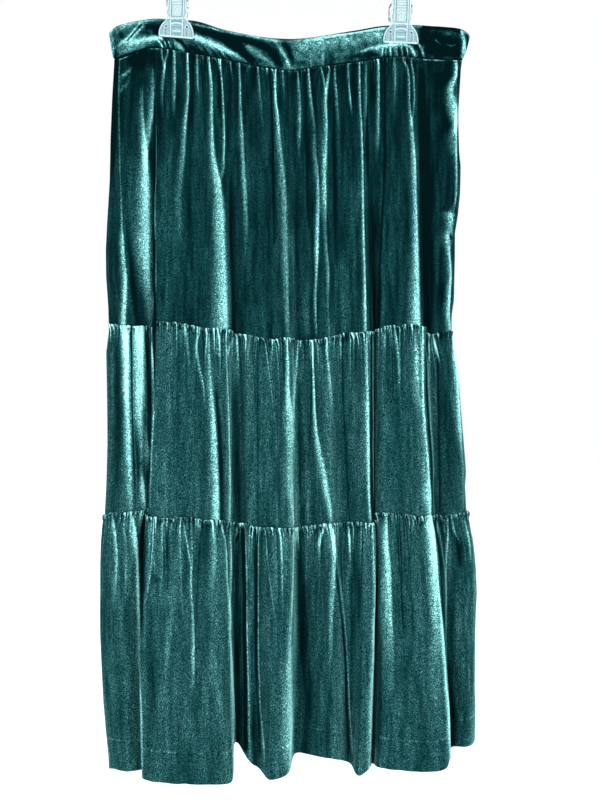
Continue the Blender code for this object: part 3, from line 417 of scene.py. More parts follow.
LOWER_STROKES = {
    "left strip, 1": ((-203, 602, 1.4, 0.5), (-200.5, 624, 2, 0.6), (-198.5, 654, 2.4, 0.55),
        (-200.5, 682, 3, 0.35), (-202, 705, 3, 0.1)),
    "left strip, 2": ((-188.5, 602, 1.2, 0.3), (-190, 617, 1.4, 0.3), (-187.5, 632, 1.4, 0.25),
        (-188, 682, 1.2, 0.25), (-188, 700, 1.2, 0.05)),
    "left strip, 3": ((-181, 598, 2, 0.5), (-177, 627, 3.4, 0.85), (-174.8, 654, 2, 0.9),
        (-174, 682, 1.8, 0.95), (-173.4, 709, 1.9, 0.85), (-172.8, 736, 1.8, 0.65), (-172, 764, 2, 0.5),
        (-169.9, 791, 2, 0.45), (-168.6, 819, 1.8, 0.5), (-167.4, 846, 1.6, 0.5), (-167.2, 880, 1.5, 0.4)),
    "left edge, gap": ((-168.8, 606, 1.4, -1.1), (-169.4, 618, 2.5, -1.5), (-169.8, 640, 2.8, -1.6),
        (-169.6, 676, 2.2, -1.4), (-169.2, 705, 1.3, -0.9), (-169, 735, 0.8, 0)),
    "wide panel, 1": ((-155.5, 608, 1, 0.4), (-157.5, 654, 1.2, 0.55), (-161, 682, 1.2, 0.5),
        (-165, 702, 1, 0.05)),
    "wide panel, 2, arm": ((-121, 608, 1, 0.3), (-119.5, 618, 1.1, 0.45), (-116, 636, 1.2, 0.5),
        (-112.9, 654, 1.2, 0.4), (-112.4, 668, 1, 0.2)),
    "wide panel, 2": ((-111.5, 606, 0.9, 0.25), (-111, 650, 1, 0.4), (-112, 682, 1.4, 0.6),
        (-110, 709, 1.6, 0.5), (-109, 736, 1.9, 0.6), (-109, 764, 2, 0.65), (-109, 785, 2, 0.4),
        (-112, 806, 2, 0.05)),
    "wide panel, 3": ((-124.8, 611, 1, 0.35), (-124.6, 640, 1.1, 0.4), (-123.8, 670, 1.2, 0.35),
        (-122, 706, 1.2, 0.15)),
    "wide panel, 4": ((-130.5, 630, 2, 0.03), (-132.4, 700, 3, 0.17), (-136.7, 747, 3.4, 0.2),
        (-141.5, 781, 4.4, 0.12), (-145, 840, 7, 0.04)),
    "wide crest": ((-85.5, 610, 3, 0.3), (-84, 650, 4.4, 0.4), (-87, 680, 4, 0.2), (-85, 716, 6, 0.15),
        (-85, 775, 6, 0.2), (-80, 821, 6, 0.1), (-82, 856, 6, 0)),
    "wide edge": ((-79, 604, 1.1, 0.45), (-72.5, 634, 1.2, 0.5), (-70, 672, 1.3, 0.6),
        (-67.5, 706, 1.6, 0.7), (-67.3, 736, 1.6, 0.7), (-65.3, 764, 1.5, 0.75), (-64.2, 791, 1.4, 0.7),
        (-63, 819, 1.3, 0.65), (-62, 846, 1.3, 0.65), (-62, 880, 1.3, 0.4)),
    "wide edge, 2": ((-67.8, 604, 1, 0.4), (-66.2, 634, 1.1, 0.5), (-65.8, 654, 1.2, 0.65),
        (-66, 682, 1.2, 0.5), (-67.5, 704, 1.1, 0.3)),
    "gap": ((-63, 612, 4, -0.2), (-64, 650, 5, -0.3), (-63.5, 710, 6, -0.3), (-61.5, 800, 6, -0.34),
        (-60, 862, 5, -0.4)),
    "gap, black": ((-53.8, 616, 1.4, -0.6), (-52.6, 650, 2.2, -1.3), (-52.3, 690, 2.4, -1.5),
        (-52, 740, 2.2, -1.4), (-51.4, 800, 2, -1.4), (-50.6, 862, 2.2, -1.4)),
    "narrow fold": ((-49.4, 622, 0.8, 0.35), (-48.8, 654, 0.8, 0.5), (-48.4, 709, 0.8, 0.55),
        (-48, 736, 0.8, 0.55), (-47.3, 764, 0.9, 0.5), (-46.4, 791, 0.8, 0.5), (-45.7, 819, 0.8, 0.35),
        (-45.2, 846, 0.8, 0.25), (-44.4, 870, 0.8, 0.15)),
    "narrow fold, shade": ((-39, 615, 2, -0.3), (-39, 700, 2.4, -0.35), (-37, 800, 2.6, -0.3),
        (-33, 868, 2, -0.2)),
    "middle rise": ((-35, 610, 0.9, 0.45), (-34.8, 672, 0.9, 0.5), (-34.6, 709, 0.9, 0.6),
        (-34.6, 764, 1, 0.65), (-34, 791, 1, 0.55), (-33, 819, 1, 0.5), (-30, 846, 1, 0.45),
        (-28, 872, 1, 0.4)),
    "pin 1": ((-9.5, 612, 1, 0.5), (-8.3, 627, 1.2, 0.7), (-7.2, 654, 1.3, 0.62), (-7, 682, 1.2, 0.4),
        (-7, 700, 1.1, 0.05)),
    "middle edge": ((5.5, 610, 1, 0.4), (4.8, 654, 1.1, 0.48), (3.8, 694, 1.3, 0.5), (2.5, 716, 1.8, 0.42),
        (1.5, 740, 2.5, 0.44), (0.5, 775, 4.4, 0.5), (0.8, 821, 6, 0.52), (0.8, 846, 6, 0.55),
        (0, 890, 5, 0.2)),
    "middle edge, shade": ((10, 630, 2.4, -0.2), (13, 700, 5, -0.25), (16, 760, 7, -0.28),
        (19, 810, 8, -0.28), (17, 872, 6, -0.15)),
    "pin 2": ((9, 612, 1.2, 0.6), (9.9, 627, 1.3, 0.7), (12, 645, 1.2, 0.1)),
    "pin 3": ((20, 613, 1, 0.3), (19.5, 705, 1, 0.05)),
    "pin 4": ((43, 611, 1.4, 0.5), (36.8, 627, 1.8, 0.8), (35.5, 645, 2.2, 0.3), (35, 660, 2, 0.05)),
    "double crest": ((47.5, 606, 1.3, 0.6), (51, 627, 2.6, 0.75), (52.5, 654, 2.6, 0.75),
        (51.5, 684, 3.4, 0.5), (49.5, 709, 3, 0.5), (49, 736, 3, 0.4), (47.5, 764, 3, 0.15),
        (46, 800, 4, 0)),
    "thin fold, shade": ((51, 646, 1, -0.2), (56.5, 683, 1.4, -0.4), (64, 758, 1.6, -0.4),
        (66, 807, 1.6, -0.4), (68, 866, 1.4, -0.3)),
    "thin fold": ((54.5, 640, 0.9, 0.15), (59.5, 683, 0.9, 0.35), (65, 730, 0.9, 0.45), (68, 775, 0.9, 0.5),
        (70, 821, 1, 0.5), (72.5, 866, 0.9, 0.35)),
    "pin 5": ((69.5, 612, 1.4, 0.7), (70.5, 627, 1.5, 0.95), (71, 650, 1.5, 0.4), (71, 668, 1.4, 0.05)),
    "pin 6": ((83.5, 610, 1.1, 0.4), (82.5, 652, 1.1, 0.05)),
    "slim crest": ((95, 606, 1.2, 0.5), (96.8, 627, 1.3, 0.55), (97, 654, 1.3, 0.55), (98, 682, 1.6, 0.55),
        (98, 709, 2, 0.7), (97, 736, 2.2, 0.7), (96.8, 764, 2.1, 0.68), (95.4, 791, 2.2, 0.65),
        (94, 819, 2.4, 0.6), (93.5, 846, 2.2, 0.6), (92, 884, 1.5, 0.35)),
    "slim edge, shade": ((101, 640, 2, -0.25), (102, 760, 3, -0.3), (99, 860, 3, -0.3)),
    "pin 7": ((112, 598, 1.6, 0.6), (112.5, 628, 2.8, 0.75), (115, 661, 4.2, 0.85), (115.5, 694, 4.6, 0.75),
        (117.5, 738, 4.2, 0.45), (119, 795, 3, 0.1)),
    "crease 7": ((127, 601, 0.9, -0.3), (129, 650, 1, -0.35), (130.5, 716, 1, -0.25), (133.5, 745, 1, 0)),
    "pin 8": ((147.5, 597, 1.4, 0.4), (142, 614, 1.4, 0.2)),
    "right crest, glow": ((159, 597, 2.8, 0.6), (162, 612, 4.2, 0.78), (164.5, 630, 4.8, 0.78),
        (165.5, 650, 5, 0.68), (167, 694, 5.4, 0.5), (169, 736, 6, 0.35), (169, 764, 7, 0.25),
        (172, 800, 8, 0.14), (176, 850, 8, 0.04)),
    "right crest": ((161.5, 598, 1.2, 0.7), (165, 610, 1.5, 0.75), (167.6, 630, 1.7, 0.8),
        (169.4, 650, 2, 0.8), (171.2, 682, 2.2, 0.8), (173.7, 709, 2.2, 0.8), (175.7, 736, 2.4, 0.8),
        (178, 764, 2.4, 0.75), (179.4, 791, 2.2, 0.75), (182.6, 819, 2.4, 0.75), (183.9, 846, 2.4, 0.65),
        (186, 873, 1.6, 0.4)),
    "right edge, shade": ((165.5, 598, 2, -0.35), (169.5, 618, 2.2, -0.45), (172, 636, 2.4, -0.5),
        (174, 654, 2.4, -0.5), (177, 709, 2.6, -0.55), (179.5, 736, 2.6, -0.55), (181.5, 764, 2.6, -0.55),
        (184, 791, 2.6, -0.5), (187, 819, 2.6, -0.5), (188.5, 860, 2.6, -0.45)),
    "pin 9": ((184, 606, 1, 0.5), (184, 627, 1.3, 0.78), (182.6, 654, 1.6, 0.62), (182, 682, 1.4, 0.25),
        (181.5, 702, 1, 0.05)),
    "right flat": ((196, 608, 10, -0.1), (200, 660, 12, -0.2), (206, 740, 13, -0.16), (206, 850, 13, -0.14)),
    "wide panel, 1, arm": ((-160.5, 606, 1, 0.25), (-159.6, 645, 1, 0.3), (-162.5, 676, 1, 0.25),
        (-165.5, 694, 0.9, 0.05)),
    "wide panel, 5": ((-145.5, 611, 1, 0.4), (-145, 650, 1.1, 0.2), (-145, 676, 1, 0.02)),
    "wide panel, shade": ((-157, 690, 4, -0.05), (-158.5, 730, 7, -0.2), (-157, 790, 8, -0.2),
        (-155, 840, 7, -0.06)),
    "double valley": ((74, 645, 3, -0.1), (78, 680, 5, -0.2), (80, 715, 5, -0.08)),
    "curl 1": ((172.8, 598, 0.9, 0.3), (170.7, 605, 0.9, 0.35), (171.2, 618, 0.9, 0.35),
        (173, 625, 0.9, 0.1)),
    "curl 2": ((177, 598, 1, 0.4), (180, 605, 1.1, 0.45), (180.5, 615, 1, 0.3)),
    "curl 3": ((188.4, 602, 1, 0.35), (190, 613, 1.1, 0.5), (193.3, 622.5, 1.1, 0.5), (196.5, 628, 1, 0.2)),
    "right rim": ((203.5, 606, 1, 0.3), (206.3, 618, 1.3, 0.6), (209.3, 632.5, 1.4, 0.6),
        (210.6, 646, 1.2, 0.4)),
    "right hollow": ((192, 620, 1.5, -0.1), (196, 634, 5, -0.35), (197, 650, 5, -0.25), (198, 665, 4, 0)),
    "narrow fold, foot": ((-42.5, 800, 2, -0.1), (-42, 832, 3, -0.3), (-41.4, 860, 3, -0.3),
        (-40.5, 878, 2.6, -0.2)),
    "wide panel, hollow": ((-142, 612, 4.5, -0.2), (-142, 640, 5, -0.28), (-141, 668, 4, -0.2),
        (-140, 692, 3, 0)),
    "wide panel, hollow 2": ((-118.8, 628, 2.4, -0.1), (-118.2, 652, 3, -0.25), (-117.6, 674, 3, -0.12)),
    "far strip, hollow": ((177, 612, 3, -0.15), (178, 650, 3.4, -0.22), (180, 690, 3, -0.05)),
    "left strip, frill": ((-171.4, 593, 3.6, 0.55), (-171.6, 600, 3.6, 0.5), (-172.4, 607, 2.6, 0.35),
        (-173, 615, 1.8, 0.1)),
    "under middle, light": ((-15, 620, 4, 0.12), (-15, 660, 4.4, 0.25), (-15, 700, 4, 0.12)),
    "double valley, dark": ((58.5, 625, 4, -0.12), (58.5, 655, 4.4, -0.22), (58.5, 685, 4, -0.08)),
    "narrow fold, side": ((-42.5, 700, 2.4, -0.08), (-42.6, 740, 2.8, -0.22), (-42.6, 785, 2.8, -0.2)),
    "left strip, side": ((-189, 680, 5, -0.1), (-189, 712, 5.4, -0.2), (-189, 745, 4.4, -0.08)),
    "far strip, flat": ((186.8, 628, 3, 0.1), (186.4, 655, 3.2, 0.2), (186, 680, 3, 0.1)),
    "double valley, light": ((67.5, 655, 4, 0.06), (67.5, 690, 4.4, 0.2), (67.5, 722, 4, 0.06)),
}

# The waistband's strokes of painted highlight and shade, in any direction, with the same rows.
BAND_STROKES = {
    "left end": ((-207, 38, 2.2, 0.35), (-206, 52, 2.2, 0.5), (-204.5, 66, 1.8, 0.4)),
    "left end, dark": ((-201.5, 60, 1.5, -0.5), (-202, 72, 1.5, -0.6)),
    "left top": ((-200, 36.5, 2.5, 0.25), (-186, 30, 3, 0.4), (-168, 26, 3, 0.4), (-154, 24.5, 2.5, 0.3)),
    "left spot": ((-197, 38, 3, -0.25), (-194.5, 44, 3, -0.35)),
    "streak": ((-174, 28.5, 1.3, 0.6), (-186, 43, 1.5, 0.7), (-198, 54, 1.8, 0.5)),
    "streak, dark": ((-172.5, 29.5, 0.9, -0.5), (-184, 44, 0.9, -0.5)),
    "streak 2": ((-170, 31.5, 1, 0.75), (-180, 42, 1.1, 0.75), (-185.5, 48.5, 1.3, 0.5)),
    "pocket": ((-164, 32, 4, -0.6), (-157, 33, 5, -0.8), (-154, 38, 4, -0.8)),
    "pocket, low": ((-172, 37, 2, -0.3), (-163, 40, 2.5, -0.45)),
    "left field": ((-199, 58, 3.2, 0.25), (-190, 55, 4.2, 0.4), (-181, 51, 4.4, 0.65), (-172, 48.5, 4, 0.8),
        (-162, 46.5, 3.6, 0.82), (-154, 44.5, 2.8, 0.85), (-149, 45.5, 2.2, 0.7)),
    "low, left": ((-197, 70, 2, -0.4), (-185, 65, 3, -0.45), (-168, 60, 3.5, -0.5), (-155, 58, 3, -0.5)),
    "pin 1": ((-155, 46, 1.1, 0.7), (-150.5, 50, 1, 0.9), (-147.5, 55.5, 0.9, 0.7)),
    "pin 1, dark": ((-147, 47, 0.9, -0.7), (-145.5, 54, 0.9, -0.7)),
    "pin 2": ((-150.5, 44, 1, 0.8), (-146, 48.5, 1, 0.8), (-143.5, 53.5, 0.8, 0.6)),
    "pin 2, dark": ((-143, 47.5, 0.7, -0.7), (-140.5, 55, 0.8, -0.7)),
    "pin 3": ((-140.5, 48.5, 0.7, 0.7), (-138, 55.5, 0.7, 0.6)),
    "pin 3, dark": ((-136, 48, 0.7, -0.6), (-134, 57, 0.8, -0.6)),
    "below clip": ((-134, 49, 2, 0.4), (-128, 54, 3.5, 0.55), (-123, 60, 2, 0.4)),
    "black crease": ((-131, 46.5, 1.4, -0.9), (-123, 52, 2.2, -1.1), (-118, 59, 2.4, -1.1),
        (-115, 63, 1.6, -0.8)),
    "pin 4": ((-122.5, 48, 0.8, 0.5), (-117.5, 57, 0.8, 0.5)),
    "hollow": ((-115, 54, 2.2, -0.5), (-108, 60, 3, -0.7), (-100, 64, 2.4, -0.6)),
    "pin 5": ((-108.5, 54.5, 0.8, 0.4), (-105, 59.5, 0.8, 0.4)),
    "crescent": ((-114, 42.4, 3.2, 0.8), (-103, 46.5, 4.2, 0.95), (-94, 50, 4.8, 0.95), (-85, 55, 4.6, 0.9),
        (-72, 60.5, 3.8, 0.8), (-58, 67.5, 2.8, 0.7), (-45, 76, 1.5, 0.5)),
    "low, middle": ((-98, 66, 2, -0.5), (-84, 72, 2, -0.5)),
    "dark band": ((-116, 31, 3, -0.5), (-104, 35, 4, -0.9), (-92, 39, 4.6, -1), (-74.5, 47, 5, -1.1),
        (-58, 59, 5.4, -1.1), (-45, 73, 5, -1)),
    "fleck 1": ((-108, 29.5, 0.8, 0.5), (-99, 33, 0.9, 0.6)),
    "fleck 2": ((-94, 31.5, 0.8, 0.5), (-83, 36.5, 0.9, 0.5)),
    "fleck 3": ((-100, 30, 0.8, 0.4), (-92, 35, 0.8, 0.4)),
    "dark top": ((-78, 42, 4, -0.5), (-60, 48, 5, -0.7), (-40, 52, 5, -0.6), (-26, 58, 4, -0.7),
        (-16, 68, 4, -0.8), (-10, 78, 3.5, -0.7)),
    "diagonal 1": ((-56, 50, 2.4, 0.3), (-45, 58, 3, 0.55), (-34, 66.5, 3, 0.5), (-26, 72, 2.2, 0.35),
        (-16, 80, 1.6, 0.3)),
    "diagonal 2": ((-20, 46, 2, 0.3), (-10.5, 59, 2.2, 0.5), (-4, 69, 2.2, 0.6), (1, 82, 1.6, 0.5)),
    "diagonal 2, shade": ((-6, 52, 3, -0.35), (1, 64, 3, -0.5), (5, 76, 2.4, -0.4)),
    "top, middle": ((-34, 46, 2, 0.3), (-20, 49.5, 2, 0.4), (-8, 51, 1.6, 0.3)),
    "right field": ((12, 58, 8, 0.35), (28, 55, 9, 0.4), (45, 52, 9, 0.4), (70, 48, 9, 0.4),
        (92, 43, 8, 0.55), (104, 41, 7, 0.6)),
    "right rim": ((20, 50.5, 1.6, 0.4), (38, 47, 1.7, 0.5), (60, 42, 1.7, 0.55), (85, 37, 1.7, 0.55),
        (112, 33, 1.6, 0.5)),
    "right streak 1": ((25.5, 68, 1.4, 0.35), (25.5, 82, 1.2, 0.35)),
    "right streak 2": ((39.5, 66, 1.6, 0.4), (40, 82, 1.4, 0.4)),
    "right, low": ((10, 76, 3, -0.3), (30, 76, 3.5, -0.16), (48, 72, 4, -0.1), (60, 70, 4, -0.2),
        (80, 67, 3.5, -0.34), (100, 64, 2.5, -0.34)),
    "right patch 1": ((45, 56, 4, -0.1), (60, 60, 4, -0.14)),
    "right patch 2": ((78, 44, 4, -0.2), (90, 50, 4, -0.25)),
    "right crescent": ((84, 61, 1.4, 0.5), (97, 57, 2.6, 0.8), (110, 54.5, 3.2, 0.95), (124, 52.5, 2.8, 0.9),
        (135, 52.5, 2.2, 0.85), (142, 56.5, 2, 0.85), (147, 66, 1.4, 0.75)),
    "right crescent, under": ((100, 65, 1.6, -0.15), (116, 62.5, 2.2, -0.2), (132, 61.5, 2.2, -0.3),
        (142, 66, 1.6, -0.5)),
    "pin 6": ((109, 58, 0.9, 0.6), (108.4, 66, 0.9, 0.5)),
    "pin 7": ((117.8, 57, 0.9, 0.65), (118.4, 66, 0.9, 0.5)),
    "pin 8": ((125.2, 56, 0.9, 0.7), (125.8, 65, 0.9, 0.5)),
    "pin 9": ((131, 55.5, 1, 0.7), (132.2, 65, 0.9, 0.6)),
    "right arc": ((149.5, 50, 1, 0.6), (154, 56.5, 1.1, 0.75), (157.5, 67, 0.9, 0.5)),
    "right arc, dark": ((147, 52, 1, -0.7), (151.5, 60, 1.4, -0.9), (153.5, 69, 1.2, -0.8)),
    "right dark": ((156, 36, 4, -1), (162, 46, 8, -1.2), (178, 50, 9, -1.2), (192, 52, 7, -1),
        (196, 62, 5, -0.9)),
    "right dark, top": ((158, 30.5, 3, -1.2), (176, 31.8, 3, -1.2), (190, 33.6, 3, -1.2),
        (197, 36.6, 2.6, -1)),
    "fleck 4": ((170.5, 46.5, 1.4, 0.9), (177, 52, 1.6, 0.9)),
    "fleck 5": ((184.5, 52.5, 1, 0.8), (189, 54, 1, 0.8), (194, 52.5, 1, 0.7)),
    "right tip": ((201, 38, 1.8, 0.6), (203.5, 46, 2, 0.8), (203.5, 56, 2.2, 0.85), (201.5, 67, 2, 0.7)),
    "right tip, edge": ((207.5, 42, 1, -0.8), (208, 52, 1, -0.9), (206.5, 66, 1, -0.8)),
    "left field, low": ((-196, 62, 3, 0.2), (-184, 59, 3, 0.2), (-170, 56, 3, 0.25)),
    "top, soft": ((-72, 36.5, 1.8, 0.3), (-52, 41.5, 2.4, 0.4), (-36, 45.5, 2.4, 0.35)),
    "right dark, low": ((161, 60, 4, -0.8), (178, 62, 5, -0.9), (192, 64, 4, -0.8)),
    "pin 6, dark": ((111, 58, 0.8, -0.7), (110.6, 66, 0.8, -0.7)),
    "pin 7, dark": ((115, 58, 0.8, -0.7), (115, 66, 0.8, -0.7)),
    "pin 8, dark": ((121, 58, 0.8, -0.7), (121, 66, 0.8, -0.6)),
    "pin 9, dark": ((128.4, 58, 0.8, -0.7), (129, 66, 0.8, -0.7)),
    "pin 10": ((137.4, 57, 1, 0.75), (139, 67, 0.9, 0.6)),
    "pin 10, dark": ((134.4, 57.5, 0.8, -0.7), (135.6, 66, 0.8, -0.7)),
    "slant 1": ((-112, 49, 0.7, -0.2), (-107.6, 54.5, 1, -0.5), (-103.6, 60.5, 0.9, -0.5)),
    "slant 1, light": ((-109.6, 49.6, 0.7, 0.1), (-105.2, 55.4, 0.9, 0.25), (-101.8, 60.4, 0.7, 0.15)),
    "slant 2": ((-102, 52, 0.7, -0.2), (-97.6, 58, 1, -0.55), (-93.6, 64, 0.9, -0.5)),
    "slant 2, light": ((-99.6, 52.6, 0.7, 0.1), (-95.2, 58.8, 0.9, 0.22), (-92, 63.4, 0.7, 0.15)),
    "slant 3": ((-92, 56, 0.7, -0.2), (-87.6, 62, 1, -0.5), (-83.6, 67.6, 0.9, -0.5)),
    "slant 4": ((-84, 57.6, 0.7, -0.2), (-79.4, 63.6, 1.1, -0.55), (-75, 70, 0.9, -0.5)),
    "slant 4, light": ((-81.4, 58.2, 0.7, 0.1), (-77, 64.4, 0.9, 0.2), (-73.2, 69.6, 0.7, 0.15)),
    "slant 5": ((-75, 62, 0.7, -0.2), (-70.4, 67.4, 1, -0.5), (-66, 72.4, 0.9, -0.45)),
    "slant 6": ((-66, 65.4, 0.6, -0.15), (-61.4, 70.4, 0.9, -0.4), (-57.4, 74.6, 0.8, -0.35)),
    "right low, light": ((103, 61, 3, 0.35), (112, 61.5, 3.6, 0.42), (122, 60, 3, 0.35)),
    "left field, fold": ((-197, 47, 2.4, 0.1), (-191, 50, 3, 0.28), (-185, 50, 2.6, 0.1)),
}

# Strokes of painted highlight and shade on the back of the waistband.
BACK_BAND_STROKES = {
    "right field": ((200, 52, 8, 0.4), (175, 47, 9, 0.5), (156, 48, 6, 0.5)),
    "below right clip": ((150, 53, 3, 0.6), (131, 52, 4, 0.8), (112, 54, 4, 0.7), (92, 60, 2, 0.5)),
    "right pins": ((140, 58, 1.2, -0.5), (138, 66, 1.2, -0.5)),
    "right band": ((108, 36, 4, -0.6), (84, 44, 5, -0.8), (60, 60, 5, -0.8), (48, 76, 4, -0.8)),
    "middle": ((40, 54, 7, 0.3), (10, 58, 8, 0.4), (-30, 54, 8, 0.3), (-62, 48, 6, 0.35)),
    "diagonal": ((-4, 50, 2, 0.3), (6, 62, 2.4, 0.6), (12, 80, 1.8, 0.5)),
    "diagonal, shade": ((-14, 54, 3, -0.5), (-6, 66, 3, -0.6), (-2, 80, 2.4, -0.5)),
    "below left clip": ((-92, 54, 2, 0.4), (-112, 48, 4, 0.7), (-131, 46, 4, 0.8), (-150, 48, 3, 0.6)),
    "left pins": ((-124, 52, 1.2, -0.5), (-120, 60, 1.2, -0.5)),
    "left field": ((-165, 40, 6, -0.4), (-185, 46, 7, -0.5), (-198, 54, 5, -0.4)),
}

# Half of a jaw's outline, from the middle of its lower edge to the top of its lever.
JAW_OUTLINE = ((0, 0), (12, 0), (18.8, 0.1), (20.3, 1.3), (20.1, 7), (18.7, 12), (16.1, 16.6), (13.2, 19.6),
               (12, 21.8), (11.6, 25.5), (12.2, 27.2), (12.2, 32.6), (11.2, 34.4), (10.8, 40), (10.6, 60),
               (9, 62), (0, 62))

# What stands on a jaw: top is its distance from the plane of the side seams, and shine, its painted
# highlight and shade, runs from -1, dark, to 1, bright.
Ridge = namedtuple("Ridge", "name path half_width top shine")

MIDDLE_RIDGES = (
    Ridge("lower lip", ((-18.6, 1.2), (0, 1.2), (18.6, 1.2)), 0.7, 7.0, 1.0),
    Ridge("cross bar", ((-5.2, 7.3), (0, 7.6), (5.2, 7.3)), 0.9, 6.6, 0.6),
    Ridge("groove", ((-5.4, 4.6), (5.4, 4.6)), 0.5, 5.0, -0.8),
    Ridge("shelf", ((-5.8, 12.6), (5.8, 12.6)), 0.8, 5.2, -0.4),
    Ridge("arch", ((-6.9, 15.2), (-4, 16.6), (0, 17.1), (4, 16.6), (6.9, 15.2)), 0.8, 6.9, 0.85),
    Ridge("arch, groove", ((-6, 19.2), (0, 19.6), (6, 19.2)), 0.45, 5.4, -0.7),
    Ridge("collar", ((-11, 22.2), (0, 22.6), (11, 22.2)), 0.8, 6.8, 0.5),
    Ridge("collar, groove", ((-6.4, 25), (6.4, 25)), 0.4, 5.4, -0.5),
    Ridge("tongue", ((-4.4, 27.5), (-4.2, 33), (0, 36.4), (4.2, 33), (4.4, 27.5)), 0.6, 6.0, 0.4),
)
# Drawn on both sides of the middle.
SIDE_RIDGES = (
    Ridge("rib", ((6.9, 1), (6.9, 10), (7, 20)), 0.6, 7.0, 1.0),
    Ridge("channel wall", ((7.2, 20), (7.6, 30), (7.4, 60)), 0.5, 7.0, 0.7),
    Ridge("channel line", ((6.2, 26), (6.2, 60)), 0.35, 5.2, -0.7),
    Ridge("shoulder", ((7.4, 21.5), (9.4, 24), (11.2, 27)), 0.6, 6.8, 0.9),
    Ridge("slot", ((12.2, 2.6), (12.2, 10.8)), 0.4, 5.1, -0.7),
    Ridge("fine rib 1", ((9.6, 2.2), (9.6, 13.5)), 0.35, 5.7, 0.35),
    Ridge("fine rib 2", ((14.6, 2.2), (14.4, 11)), 0.4, 5.8, 0.45),
    Ridge("fine rib 3", ((17, 2.2), (16.8, 8)), 0.35, 5.7, 0.3),
)
GRIP_HEIGHTS = (39.5, 42.6, 45.7, 48.8, 51.9, 55.0)
GRIPS = tuple(Ridge("grip", ((-5.8, h), (5.8, h)), 0.8, 6.2, 0.3) for h in GRIP_HEIGHTS)
PIN_HOLES = ((-12.2, 12.9), (12.2, 12.9))
PIN_RADIUS = 1.3


# ---------------------------------------------------------------- camera, lights, floor
VIEW_HEIGHT = 0.9333        # of the garment, in metres, and it begins just above the hanger's bar
VIEW_SHIFT = 0.0128         # of the view's middle to the right of the skirt's
CAMERA_DISTANCE = 2.2
SENSOR = 36.0

Light = namedtuple("Light", "name location target size power")
LIGHTS = (
    Light("key", (-1.3, -2.2, 0.7), (0.0, 0.0, -0.6), 0.9, 30.0),
    Light("fill", (1.6, -1.8, -0.3), (0.0, 0.0, -0.7), 1.0, 16.0),
)
WHITE = (1.0, 1.0, 1.0, 1.0)
FLOOR_COLOR = (0.95, 0.95, 0.95, 1.0)
FLOOR_GLOW = 0.3
FLOOR_SIZE = 14.0
FLOOR_Y = 3.0
FLOOR_BELOW = 0.10          # under the hem


def add_object(name, data):
    added = bpy.data.objects.new(name, data)
    bpy.context.scene.collection.objects.link(added)
    return added


def make_camera():
    """Square on to the front, level with the middle of the view."""
    data = bpy.data.cameras.new("camera")
    data.sensor_fit = "VERTICAL"
    data.sensor_height = SENSOR
    data.lens = SENSOR * CAMERA_DISTANCE / VIEW_HEIGHT
    data.clip_end = 20.0
    camera = add_object("camera", data)
    camera.location = (VIEW_SHIFT + SKIRT_X * MM, -CAMERA_DISTANCE, DATUM_Z * MM - VIEW_HEIGHT / 2)
    camera.rotation_euler = (math.radians(90), 0.0, 0.0)
    bpy.context.scene.camera = camera


def make_lights():
    world = bpy.data.worlds.new("studio")
    bpy.context.scene.world = world
    world.use_nodes = True
    background = world.node_tree.nodes["Background"]
    background.inputs["Color"].default_value = WHITE
    background.inputs["Strength"].default_value = 1.0
    for row in LIGHTS:
        data = bpy.data.lights.new(row.name, "AREA")
        data.shape = "DISK"
        data.size = row.size
        data.energy = row.power
        light = add_object(row.name, data)
        light.location = row.location
        aim = Vector(row.target) - Vector(row.location)
        light.rotation_euler = aim.to_track_quat("-Z", "Y").to_euler()
    bpy.context.scene.view_settings.view_transform = "Standard"


def make_floor():
    bpy.ops.mesh.primitive_plane_add(size=FLOOR_SIZE, location=(0.0, FLOOR_Y, CAD_BOX[0][2] - FLOOR_BELOW))
    floor = bpy.context.object
    floor.name = "floor"
    paint = Nodes("floor")
    floor.data.materials.append(paint.finish(
        Base_Color=FLOOR_COLOR, Roughness=0.9, Emission_Color=WHITE, Emission_Strength=FLOOR_GLOW))


